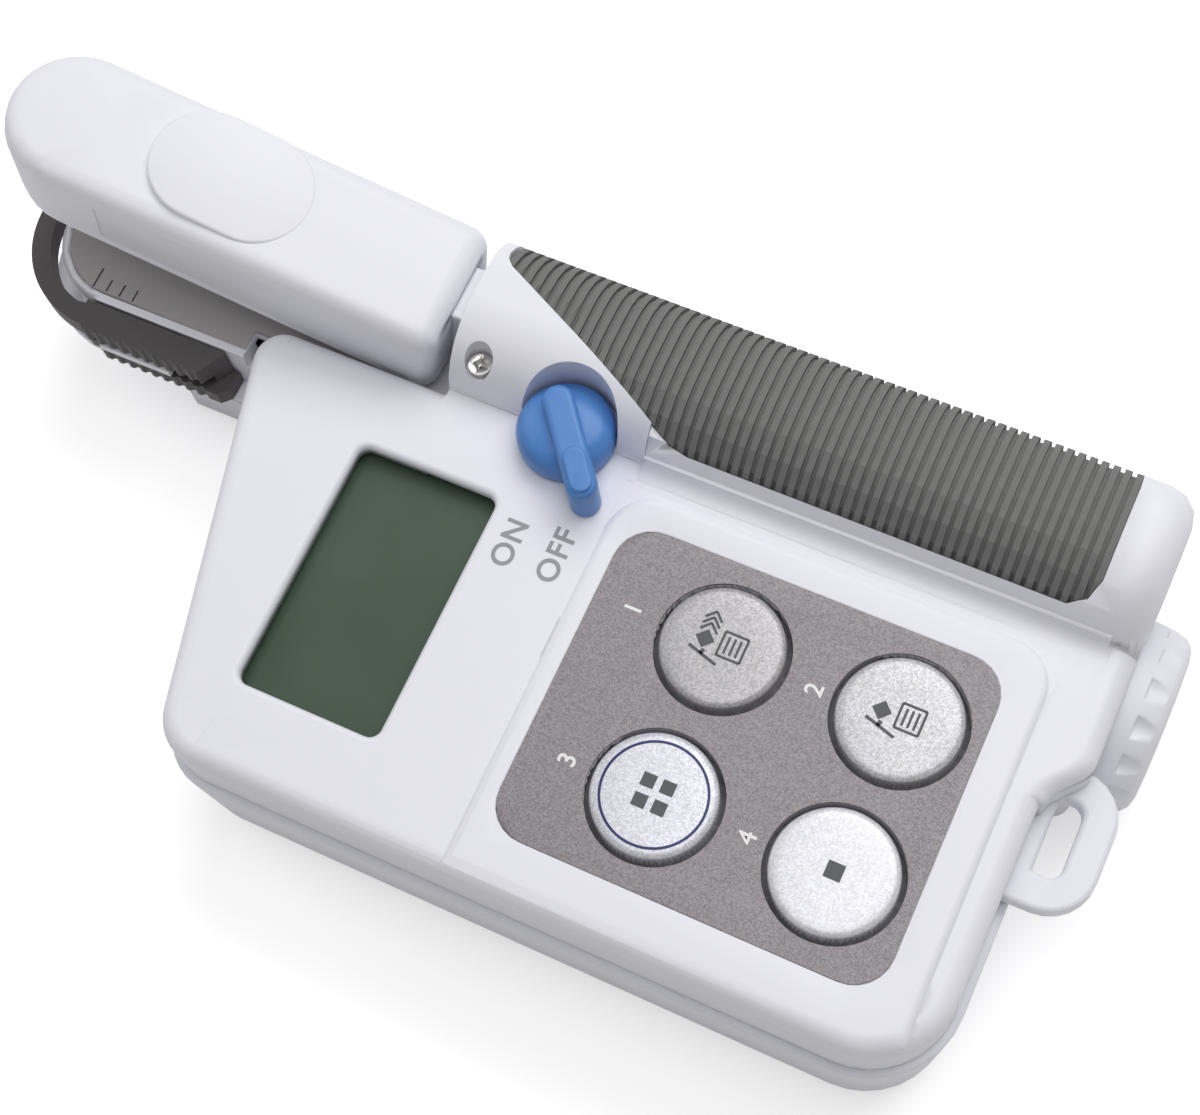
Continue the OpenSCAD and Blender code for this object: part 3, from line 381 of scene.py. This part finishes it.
# Below its ledge the lower arm of the rear cover is a narrow keel, which widens to a foot where
# it meets the body. Outlines, corners and levels here and below are in millimetres, and spots
# on the face are in metres.
lower_arm_y = 25
keel_radius, keel_top = 8.2, 14
ledge_level = 12.9
keel = rounded_block(
    ((-68.4, lower_arm_y, keel_radius), (-15.1, lower_arm_y, keel_radius)), 0, keel_top, 2,
)
for vert in keel.verts:
    vert.co.z = keel_top / 1000 - vert.co.z
bmesh.ops.reverse_faces(keel, faces=keel.faces)
foot_plan = [(-61.1, lower_arm_y), (-61.1, 17.8), (-58.6, 13.7), (-39.4, 13.7),
             (-39.4, lower_arm_y)]
undercut_plan = [(-84, 9), (-43.9, 9), (-43.9, 19), (-37.5, 19), (-37.5, 40), (-84, 40)]
undercut = upright(undercut_plan, -1, ledge_level)
for kept in (keel, upright(foot_plan, -2, keel_top + 0.1)):
    undercut = combine(undercut, kept, "DIFFERENCE")
stand_in("rear_cover", combine(merged_copy("rear_cover"), undercut, "DIFFERENCE"), white_plastic)

# Front cover
# The same moulding. The face lies lower round the raised key section, a plateau with soft
# edges; it meets the grip in a cove and the key end in a soft shoulder, and a soft rim runs
# round the display window. The key wells are painted a shade greyer than the face: painted
# shade for the deep gaps round the keys.
key_spots = ((0.0312, 0.0), (0.0539, 0.0), (0.0312, -0.0199), (0.0539, -0.0199))
well_radius = 0.00844
window_centre = Vector((-0.01245, -0.0096))
window_size = Vector((0.0195, 0.0342))
window_rim_radius = 0.0009
display_level = 0.0294
tolerance = 2e-5


def is_window_rim(edge):
    """Whether an edge of the front cover runs round the window at the display's level."""
    for vert in edge.verts:
        off = vert.co.xy - window_centre
        on_face = abs(vert.co.z - display_level) < tolerance
        near_x = abs(off.x) < window_size.x / 2 + tolerance
        near_y = abs(off.y) < window_size.y / 2 + tolerance
        if not (on_face and near_x and near_y):
            return False
    return len(edge.link_faces) == 2 and edge.calc_face_angle() > 1.0


front_form = merged_copy("front_cover")
bmesh.ops.bevel(
    front_form, geom=[edge for edge in front_form.edges if is_window_rim(edge)],
    offset=window_rim_radius, segments=5, profile=0.5, affect="EDGES", material=-1,
)

face_top = 29.402
plateau_top = 30.001
top_radius = 2.5
kept_top = rounded_block(
    ((-37.9, 14.5, 4.02), (-22.57, -31.2, 7.02), (61.3, -27.2, 11.02), (68.3, 14.5, 4.02)),
    20, face_top, top_radius,
)
plateau = rounded_block(
    ((17.1, 9.35, 6), (62.8, 9.35, 6), (17.1, -51.2, 6), (62.8, -51.2, 6)), 20, plateau_top, 1.3,
)
shoulder_levels = [(-0.02, 20)]
for step in range(6):
    turn = step * pi / 10
    shoulder_levels.append((top_radius * (1 - cos(turn)), face_top - top_radius * (1 - sin(turn))))
shoulder_rings = []
for inward, level in shoulder_levels:
    shoulder_plan = [(62.9, 24.7), (62.9, -3), (70.7 - inward, -3)]
    for step in range(13):
        swing = 3.85 * (1 - cos(pi * step / 12)) / 2
        shoulder_plan.append((72.9 + swing - inward, -2 + 7 * step / 12))
    shoulder_plan.append((76.77 - inward, 24.7))
    shoulder_rings.append([(x, y, level) for x, y in shoulder_plan])
cove_radius = 2.2
cove_profile = [(16.5, 26), (18.9, 26), (18.9, 34), (18.7, 34)]
for step in range(9):
    turn = step * pi / 16
    cove_profile.append(
        (16.5 + cove_radius * cos(turn), face_top + cove_radius - cove_radius * sin(turn))
    )
cove = loft([[(x, y, z) for y, z in cove_profile] for x in (12.3, 73.5)])
hinge_seat = upright([(-15.3, 15.9), (12.4, 15.9), (12.4, 19.5), (-15.3, 19.5)], 20, face_top)
lowering = upright([(-46, -42), (78, -42), (78, 18.7), (-46, 18.7)], 26.5, 33)
for kept in (kept_top, plateau, loft(shoulder_rings), cove, hinge_seat):
    lowering = combine(lowering, kept, "DIFFERENCE")
front_form = combine(front_form, lowering, "DIFFERENCE")
# Faces in the key wells take a greyer finish, painted shade for the deep gaps round the keys.
for face in front_form.faces:
    middle = face.calc_center_median()
    in_well = any((middle.xy - Vector(spot)).length < well_radius + tolerance for spot in key_spots)
    face.material_index = 1 if in_well and middle.z < 0.02999 else 0
front_shell = stand_in("front_cover", front_form, white_plastic)
# Painted shade: the key wells get a greyer white than the face.
well_painted_shade = moulding("well_painted_shade", srgb(168, 165, 172), 0.6)
front_shell.data.materials.append(well_painted_shade)

# Hinge cover
# A moulded cover over the hinge, held by one screw. Its top follows the grip's section, its
# slanted right edge meets the grip, and it is open round the lever's disc, for the screw's head
# and for the hinge bracket.
lever_pivot = (1.9, 18.3)
hinge_plan = [(-15.1, 41.2), (-15.1, 18.5), (12.3, 18.5), (12.3, 21.8), (-12.2, 33.8),
              (-13.2, 34.8), (-13.5, 35.8), (-13.5, 41.2)]
hinge_form = upright(hinge_plan, 29.5, 50)
grip_profile = (
    [(39.2, 24)] + arc((32.6, 31.7), 6.6, 0, 90, 18) + arc((28.5, 28.5), 9.8, 90, 180, 24)
    + [(18.7, 24)]
)
grip_sweep = loft([[(x, y, z) for y, z in grip_profile] for x in (-17, 20)])
hinge_form = combine(hinge_form, grip_sweep, "INTERSECT")
for opening in (
    upright(arc(lever_pivot, 6.7, 0, 355, 71), 29, 50),
    upright(arc((-11.4, 21.5), 1.9, 0, 350, 35), 32.9, 50),
    upright([(-16.1, 25.3), (-3.1, 25.3), (-3.1, 33.1), (-16.1, 33.1)], 29, 36.4),
):
    hinge_form = combine(hinge_form, opening, "DIFFERENCE")
stand_in("hinge_cover", hinge_form, white_plastic)

# Arm cover and finger rest
# The upper shell of the arm has an oval finger rest that stands out at its left end and runs
# level with the arm at its right, and a hairline seam in the front wall. Both are worked out
# with the arm closed and then turned up with it.
arm_pivot = Vector((-22.6, 0, 28.5)) / 1000
arm_lift = (
    Matrix.Translation(arm_pivot) @ Matrix.Rotation(radians(9.75), 4, "Y")
    @ Matrix.Translation(-arm_pivot)
)
arm_top = 39.2
arm_form = merged_copy("arm_cover")
bmesh.ops.transform(arm_form, matrix=arm_lift.inverted(), verts=arm_form.verts)
for vert in arm_form.verts:
    vert.co.z = min(vert.co.z, arm_top / 1000)
bmesh.ops.remove_doubles(arm_form, verts=arm_form.verts, dist=2e-6)
wall_seam = upright([(-65.94, 18), (-65.78, 18), (-65.78, 19.15), (-65.94, 19.15)], 25, 35.6)
arm_form = combine(arm_form, wall_seam, "DIFFERENCE")
bmesh.ops.transform(arm_form, matrix=arm_lift, verts=arm_form.verts)
stand_in("arm_cover", arm_form, white_plastic)

rest_left, rest_y = -62.05, 29.2
rest_length, rest_radius = 22, 7.7
rest_rise, rest_fall = 1.2, 1.15
rest_rings = []
for inward, drop in ((0.0, None), (0.0, 0.42), (0.06, 0.22), (0.2, 0.07), (0.42, 0.0)):
    ring = []
    for side in (1, -1):
        for step in range(25):
            turn = step * pi / 24 - side * pi / 2
            x = rest_left + rest_length / 2 + side * 3.3 + (rest_radius - inward) * cos(turn)
            y = rest_y + (rest_radius - inward) * sin(turn)
            crown = arm_top + rest_rise - rest_fall * (x - rest_left) / rest_length
            ring.append((x, y, arm_top - 0.6 if drop is None else crown - drop))
    rest_rings.append(ring)
rest_form = loft(rest_rings)
bmesh.ops.transform(rest_form, matrix=arm_lift, verts=rest_form.verts)
place_piece("finger_rest", rest_form, "measuring_arm", white_plastic)

# Hand grip
# A ribbed sleeve of grey elastomer laid into the handle, held by its edges. It is quite matt,
# with a coarser grain than the housing's.
grip_rubber = moulding("grip_rubber", srgb(116, 116, 115), 0.7, 0.00035, 0.25, 0.06, 0.3)
dress("grip_cover", grip_rubber, 25)

# Display
# A blank liquid crystal panel, dark green with a glossy polariser, at the bottom of its recess
# under a thin clear window.
tone_clouds, cloud_in, cloud_out = new_group(
    "tone clouds",
    {"Dark": (0.1, 0.1, 0.1, 1.0), "Light": (0.2, 0.2, 0.2, 1.0), "Cloud Scale": 100.0,
     "Start": 0.0, "End": 1.0},
    {"Color": "NodeSocketColor", "Amount": "NodeSocketFloat"},
)
cloud_place = add_node(tone_clouds, "ShaderNodeTexCoord")
cloud_noise = add_node(
    tone_clouds, "ShaderNodeTexNoise",
    {"Vector": cloud_place.outputs["Object"], "Scale": cloud_in.outputs["Cloud Scale"]},
)
cloud_part = add_node(
    tone_clouds, "ShaderNodeMapRange",
    {"Value": cloud_noise.outputs["Fac"], "From Min": cloud_in.outputs["Start"],
     "From Max": cloud_in.outputs["End"]},
)
factor, first_color, second_color, mixed_color = 0, 6, 7, 2
cloud_mix = add_node(
    tone_clouds, "ShaderNodeMix",
    {factor: cloud_part.outputs[0], first_color: cloud_in.outputs["Dark"],
     second_color: cloud_in.outputs["Light"]},
    data_type="RGBA",
)
feed(tone_clouds, cloud_out, {
    "Color": cloud_mix.outputs[mixed_color], "Amount": cloud_noise.outputs["Fac"],
})


def clouded(name, dark, light, scale, shader_values, start=0.0, end=1.0):
    """A finish whose colour drifts between two tones. Returns it with its clouds' amount."""
    finish, nodes, shader = new_material(name)
    clouds = add_node(
        nodes, "ShaderNodeGroup",
        {"Dark": dark, "Light": light, "Cloud Scale": scale, "Start": start, "End": end},
        node_tree=tone_clouds,
    )
    feed(nodes, shader, {"Base Color": clouds.outputs["Color"], **shader_values})
    return finish, clouds.outputs["Amount"]


def finish_node(node, finish):
    """Gives a CAD node its finish in every slot."""
    slots = frame["nodes"][node].material_slots
    for material_slot in slots:
        material_slot.material = finish
    if not slots:
        frame["nodes"][node].data.materials.append(finish)


lcd_green, _ = clouded(
    "lcd_green", srgb(70, 90, 70), srgb(82, 101, 86), 45.0,
    {"Roughness": 0.35, "Coat Weight": 0.6, "Coat Roughness": 0.04}, 0.3, 0.7,
)
finish_node("lcd_panel", lcd_green)
window_clear, _ = clouded(
    "window_clear", srgb(60, 80, 66), srgb(78, 98, 82), 300.0, {"Roughness": 0.04, "Alpha": 0.1},
)
finish_node("display_lens", window_clear)

# Keypad overlay
# A polyester overlay printed with grey metallic ink from behind, so it glitters finely. It sits
# in a shallow seat and is cut out round the four keys.
glitter_ink, ink_in, ink_out = new_group(
    "glitter ink",
    {"Color": (0.3, 0.3, 0.3, 1.0), "Flake Size": 0.0001, "Sparkle": 0.3},
    {"Color": "NodeSocketColor", "Normal": "NodeSocketVector"},
)
ink_place = add_node(glitter_ink, "ShaderNodeTexCoord")
flake_scale = add_node(
    glitter_ink, "ShaderNodeMath", {0: 1.0, 1: ink_in.outputs["Flake Size"]}, operation="DIVIDE",
)
flakes = add_node(
    glitter_ink, "ShaderNodeTexVoronoi",
    {"Vector": ink_place.outputs["Object"], "Scale": flake_scale.outputs[0]},
)
flake_value = add_node(glitter_ink, "ShaderNodeSeparateColor", {0: flakes.outputs["Color"]})
flake_centre = add_node(
    glitter_ink, "ShaderNodeMath", {0: flake_value.outputs[0], 1: 0.5}, operation="SUBTRACT",
)
flake_gain = add_node(
    glitter_ink, "ShaderNodeMath",
    {0: flake_centre.outputs[0], 1: ink_in.outputs["Sparkle"], 2: 1.0}, operation="MULTIPLY_ADD",
)
flake_tone = add_node(
    glitter_ink, "ShaderNodeVectorMath",
    {0: ink_in.outputs["Color"], "Scale": flake_gain.outputs[0]}, operation="SCALE",
)
flake_tilt = add_node(
    glitter_ink, "ShaderNodeBump",
    {"Distance": 0.00002, "Strength": 0.25, "Height": flake_value.outputs[1]},
)
feed(glitter_ink, ink_out, {"Color": flake_tone.outputs[0], "Normal": flake_tilt.outputs[0]})


def metallic_paint(name, color, flake, sparkle, metallic, roughness):
    """A silvery finish full of fine flakes."""
    finish, nodes, shader = new_material(name)
    ink = add_node(
        nodes, "ShaderNodeGroup", {"Color": color, "Flake Size": flake, "Sparkle": sparkle},
        node_tree=glitter_ink,
    )
    feed(nodes, shader, {
        "Base Color": ink.outputs["Color"],
        "Normal": ink.outputs["Normal"],
        "Metallic": metallic,
        "Roughness": roughness,
    })
    return finish


overlay_ink = metallic_paint("overlay_ink", srgb(141, 135, 139), 0.00016, 0.55, 0.25, 0.5)
dress("keypad_overlay", overlay_ink)

# Keys
# Four round keys with a flake-painted top, shallowly domed, in a narrow gap. Each has a skirt
# below the front cover that keeps it in, painted grey as painted shade where it shows in the gap.
# Their silvers are painted from duller at the rear to brighter at the front, a painted reflection
# of the lamps on the front keys.
face_level = 0.030
skirt_drop = 0.0006
key_top = 0.0312
flake_size = 0.00018
# The skirt's grey is painted shade: it stands for the dark gap round each key.
key_skirt_painted_shade = moulding("key_skirt_painted_shade", srgb(172, 170, 178), 0.6)
# Each key's silver holds painted reflection, brighter towards the front and duller at the rear.
for key, painted_reflection_name, silver_with_painted_reflection, sparkle, metallic in (
    ("key_clear_all", "key_silver_rear_painted_shade", srgb(176, 174, 178), 0.5, 0.35),
    ("key_delete_one", "key_silver_right_painted_shade", srgb(196, 195, 199), 0.5, 0.35),
    ("key_average", "key_silver_front_painted_reflection", srgb(214, 214, 222), 0.4, 0.3),
    ("key_recall", "key_silver_bright_painted_reflection", srgb(220, 220, 226), 0.3, 0.3),
):
    key_form = merged_copy(key)
    for face in key_form.faces:
        is_skirt = face.calc_center_median().z < face_level - skirt_drop
        face.material_index = 1 if is_skirt else 0
    key_paint_with_reflection = metallic_paint(painted_reflection_name, silver_with_painted_reflection, flake_size, sparkle, metallic, 0.4)
    stand_in(key, key_form, key_paint_with_reflection).data.materials.append(key_skirt_painted_shade)

# Printed marks
# Screen-printed marks stand a hair above the surface they are on: ON and OFF beside the lever,
# plain numbers on the overlay beside the keys, and simple pictograms on the key tops.
ink_grey = moulding("ink_grey", srgb(150, 152, 158), 0.5, 0.0002, 0.1, 0.25)
ink_white = moulding("ink_white", srgb(236, 234, 234), 0.5)
ink_charcoal = moulding("ink_charcoal", srgb(84, 86, 90), 0.5)
ink_navy = moulding("ink_navy", srgb(44, 48, 104), 0.4)
ink_film = 0.00002
mark_sink = 0.00007


def lettering(name, words, cap_height, spot, ink, weight=0.00004):
    """Printed words that read along +Y, with the tops of the letters towards -X."""
    typed = bpy.data.objects.new(name + "_typed", bpy.data.curves.new(name, "FONT"))
    typed.data.body = words
    typed.data.size = cap_height / 0.7
    typed.data.align_x = "CENTER"
    typed.data.align_y = "CENTER"
    typed.data.space_character = 1.1
    typed.data.extrude = ink_film / 2
    typed.data.offset = weight
    flat = bpy.data.meshes.new_from_object(typed)
    bpy.data.objects.remove(typed)
    form = bmesh.new()
    form.from_mesh(flat)
    bpy.data.meshes.remove(flat)
    place = Matrix.Translation(spot) @ Matrix.Rotation(pi / 2, 4, "Z")
    bmesh.ops.transform(form, matrix=place, verts=form.verts)
    place_piece(name, form, "meter_body", ink)


for name, word, x, y in (
    ("mark_on", "ON", 0.00131, 0.00258),
    ("mark_off", "OFF", 0.00745, 0.00329),
):
    spot = (x, y, display_level + ink_film)
    lettering(name, word, 0.0028, spot, ink_grey, 0.00007)
overlay_level = 0.03005
label_spots = ((0.01924, 0.00049), (0.04331, -0.00039), (0.01995, -0.01991), (0.04319, -0.02005))
for number, (x, y) in enumerate(label_spots, start=1):
    spot = (x, y, overlay_level + ink_film)
    lettering(f"label_{number}", str(number), 0.0022, spot, ink_white)


def bar_mark(form, start, end, width):
    """A printed bar from start to end, its top a hair above the key and its underside sunk into
    the shallow dome."""
    start, end = Vector(start), Vector(end)
    along = end - start
    level = key_top + 0.00001
    made = bmesh.ops.create_cube(form, size=1.0)["verts"]
    place = Matrix.LocRotScale(
        ((start + end) / 2).to_3d() + Vector((0, 0, level - mark_sink / 2)),
        Vector((along.x, along.y, 0)).to_track_quat("X", "Z"),
        Vector((along.length, width, mark_sink)),
    )
    bmesh.ops.transform(form, matrix=place, verts=made)


def square_mark(form, middle, half):
    bar_mark(form, middle - Vector((half, 0)), middle + Vector((half, 0)), 2 * half)


def bin_marks(form, x, y, chevrons):
    """A bin with its lid lifted and a diamond falling in, with chevrons where all are cleared."""
    line = 0.00032
    bin_x, bin_y, half_x, half_y = x + 0.0012, y + 0.0003, 0.0015, 0.0016
    for side in (-1, 1):
        wall_y, wall_x = bin_y + side * half_y, bin_x + side * half_x
        bar_mark(form, (bin_x - half_x, wall_y), (bin_x + half_x, wall_y), line)
        bar_mark(form, (wall_x, bin_y - half_y), (wall_x, bin_y + half_y), line)
    for step in (-0.5, 0.0, 0.5):
        rib_x = bin_x + step * half_x
        bar_mark(form, (rib_x, bin_y - half_y * 0.7), (rib_x, bin_y + half_y * 0.7), line)
    bar_mark(form, (x - 0.0038, y - 0.0013), (x + 0.0002, y - 0.0025), line * 1.2)
    bar_mark(form, (x - 0.0021, y - 0.0019), (x - 0.0019, y - 0.0012), line * 1.6)
    diamond = Vector((x - 0.0023, y + 0.0001))
    corner = Vector((0.00062, 0.00062))
    bar_mark(form, diamond - corner, diamond + corner, 0.00175)
    for step in range(chevrons):
        tip = diamond + Vector((0.0, 0.0021 + 0.0008 * step))
        for side in (-1, 1):
            bar_mark(form, tip, tip + Vector((side * 0.0011, -0.0011)), line)


for key, body, (x, y), chevrons in (
    ("key_clear_all", "clear_all", key_spots[0], 3),
    ("key_delete_one", "delete_one", key_spots[1], 0),
):
    marks = bmesh.new()
    bin_marks(marks, x, y, chevrons)
    place_piece(key + "_marks", marks, body, ink_charcoal)

marks = bmesh.new()
for side_x in (-1, 1):
    for side_y in (-1, 1):
        away = Vector((side_x * 0.00125, side_y * 0.0013))
        square_mark(marks, Vector(key_spots[2]) + away, 0.00085)
place_piece("key_average_marks", marks, "average", ink_charcoal)
marks = bmesh.new()
square_mark(marks, Vector(key_spots[3]), 0.00105)
place_piece("key_recall_mark", marks, "recall", ink_charcoal)

# The navy ring follows the dome near the key's edge, so its section leans outwards
ring_form = bmesh.new()
ring_section = [
    ring_form.verts.new((radius, 0, key_top - drop)) for radius, drop in (
        (0.00628, 0.00014), (0.00662, 0.00016), (0.00662, 0.00022), (0.00628, 0.0002),
    )
]
ring_edges = [ring_form.edges.new((ring_section[i], ring_section[(i + 1) % 4])) for i in range(4)]
bmesh.ops.spin(
    ring_form, geom=ring_section + ring_edges, cent=(0, 0, 0), axis=(0, 0, 1), angle=2 * pi,
    steps=72, use_merge=True,
)
bmesh.ops.recalc_face_normals(ring_form, faces=ring_form.faces)
bmesh.ops.translate(ring_form, verts=ring_form.verts, vec=(*key_spots[2], 0))
place_piece("key_average_ring", ring_form, "average", ink_navy)

# Power lever
# A domed disc with a finger bar and a pad at its end, in satin blue plastic. It is one moulding
# and sits on the shaft of the rotary switch.
lever_blue = moulding("lever_blue", srgb(78, 132, 200), 0.36, 0.0003, 0.05, 0.03, 0.5)
lever_aim = -51
lever_end = 9.3
lever_form = bmesh.new()
disc_profile = [(0, 29.7), (6.0, 29.7), (6.3, 30.1), (6.3, 32.1), (5.8, 33.2), (4.5, 34.0),
                (2.5, 34.4), (0, 34.5)]
disc_verts = [lever_form.verts.new(Vector((x, 0, z)) / 1000) for x, z in disc_profile]
disc_edges = [lever_form.edges.new(pair) for pair in zip(disc_verts, disc_verts[1:])]
bmesh.ops.spin(
    lever_form, geom=disc_verts + disc_edges, cent=(0, 0, 0), axis=(0, 0, 1), angle=2 * pi,
    steps=96, use_merge=True,
)
bmesh.ops.remove_doubles(lever_form, verts=lever_form.verts, dist=1e-7)
bmesh.ops.recalc_face_normals(lever_form, faces=lever_form.faces)
for added in (
    rounded_block(((-2.6, 0, 2), (lever_end, 0, 2)), 33, 36, 0.8),
    rounded_block(((6.2, 0, 1.99), (lever_end, 0, 1.99)), 29.8, 34.8, 0.2),
    rounded_block(((5.9, 0, 1.44), (lever_end, 0, 1.44)), 34.5, 36.5, 0.3),
):
    lever_form = combine(lever_form, added, "UNION")
lever_place = Matrix.Translation(Vector((*lever_pivot, 0)) / 1000)
lever_turn = lever_place @ Matrix.Rotation(radians(lever_aim), 4, "Z")
bmesh.ops.transform(lever_form, matrix=lever_turn, verts=lever_form.verts)
stand_in("power_lever", lever_form, lever_blue, 50)

# Lower arm
# The platform plate and the depth stop are moulded in warm grey plastic, the gaskets in black
# rubber. Four short dark strokes on the plate mark the depth stop's travel.
stop_grey = moulding("stop_grey", srgb(84, 79, 80), 0.5, 0.0004, 0.2, 0.05)
plate_grey = moulding("plate_grey", srgb(164, 159, 159), 0.5, 0.0004, 0.1, 0.04)
stroke_dark = moulding("stroke_dark", srgb(66, 60, 60), 0.6)
gasket_black = moulding("gasket_black", srgb(32, 32, 34), 0.7)


notch_pitch, notch_radius = 1.8, 0.7


def serrated(start, end, y, first, count):
    """The front edge of a thumb lip, from start to end at y, with scooped notches along it."""
    edge = [(start, y)]
    for number in range(first, first + count):
        centre = (-67.2 + notch_pitch * number, y - notch_radius / 2)
        edge += arc(centre, notch_radius, 150, 30, 6)
    return edge + [(end, y)]


# The depth stop is a band round the tip of the lower arm with a thumb block of two serrated
# lips. The slot between the lips runs on a rail of the arm, and the lower lip ends in a hook.
tip_centre, front_leg = (-68.4, 25.0), 14.5
lip_front = 10.3
band = ([(-54.4, 39.2)] + arc(tip_centre, 14.2, 90, 270, 40)
        + [(-64.4, 10.8), (-64.4, front_leg)]
        + arc(tip_centre, 11.5, 258, 90, 40) + [(-54.4, 36.5)])
upper_lip = ([(-69.6, front_leg), (-69.6, 11.9)] + serrated(-68.2, -50.3, lip_front, 0, 10)
             + [(-48.1, 14.1), (-48.1, front_leg)])
lower_lip = ([(-68.0, front_leg), (-68.0, 11.5)] + serrated(-66.8, -48.5, lip_front, 1, 9)
             + [(-47.3, 11.5), (-47.3, front_leg)])
left_post = [(-69.6, front_leg), (-69.6, 11.9), (-68.2, 10.5), (-66.9, 10.5),
             (-66.9, front_leg)]
right_post = [(-49.3, front_leg), (-49.3, 12.1), (-48.1, 14.1), (-48.1, front_leg)]
stop_form = upright(band, 19.4, 22.6)
for outline, low, high in (
    (upper_lip, 19.3, 22.6), (lower_lip, 14.8, 17.4), (left_post, 17.3, 19.4),
    (right_post, 17.3, 19.4),
):
    stop_form = combine(stop_form, upright(outline, low, high), "UNION")
stand_in("depth_stop", stop_form, stop_grey)
rail = upright([(-66.6, 10.2), (-55.6, 10.2), (-55.6, 15.2), (-66.6, 15.2)], 17.7, 19.0)
place_piece("stop_rail", rail, "meter_body", white_plastic)

stroke_level = 0.02281
plate_form = merged_copy("receptor_plate")
for face in plate_form.faces:
    face.material_index = 1 if face.calc_center_median().z > stroke_level else 0
stand_in("receptor_plate", plate_form, plate_grey).data.materials.append(stroke_dark)
for gasket in ("receptor_gasket", "led_gasket", "cap_seal"):
    dress(gasket, gasket_black)

# Fasteners and springs
# Small cross-head screws, the hinge pin, the springs and the battery contact, in bright
# zinc-plated steel with a faint cloudy bloom.
plated_steel, bloom = clouded(
    "plated_steel", (0.5, 0.48, 0.46, 1), (0.72, 0.7, 0.68, 1), 1500.0, {"Metallic": 1.0},
)
steel_nodes = plated_steel.node_tree
steel_gloss = add_node(
    steel_nodes, "ShaderNodeMapRange", {"Value": bloom, "To Min": 0.2, "To Max": 0.4},
)
feed(steel_nodes, steel_nodes.nodes["Principled BSDF"], {"Roughness": steel_gloss.outputs[0]})
for steel_piece in ("cover_screw", "case_screws", "arm_screws", "hinge_pin", "return_spring",
                    "battery_spring", "cap_contact"):
    dress(steel_piece, plated_steel)

# Inner pieces
# Green fibreglass boards, ivory and dark moulded frames, the battery tube and cells, and the
# optical parts behind deep red windows. They are closed in, so they are kept plain.
board_green = moulding("board_green", srgb(38, 104, 62), 0.35, 0.0006, 0.1, 0.08)
inner_ivory = moulding("inner_ivory", srgb(205, 203, 192), 0.5)
inner_dark = moulding("inner_dark", srgb(48, 47, 50), 0.5)
cell_jacket = moulding("cell_jacket", srgb(58, 92, 72), 0.3)
window_red = moulding("window_red", srgb(70, 18, 20), 0.1, 0.001, 0.0, 0.02, 0.6)
for finish, inner_nodes in (
    (board_green, ("main_board", "receptor_board", "led_board")),
    (inner_ivory, ("lcd_frame", "keypad_mat", "switch_rotor")),
    (inner_dark, ("buzzer", "switch_base", "battery_tube", "photodiode", "led_block")),
    (cell_jacket, ("battery_cells",)),
    (window_red, ("receptor_window", "led_window")),
):
    for inner_node in inner_nodes:
        finish_node(inner_node, finish)
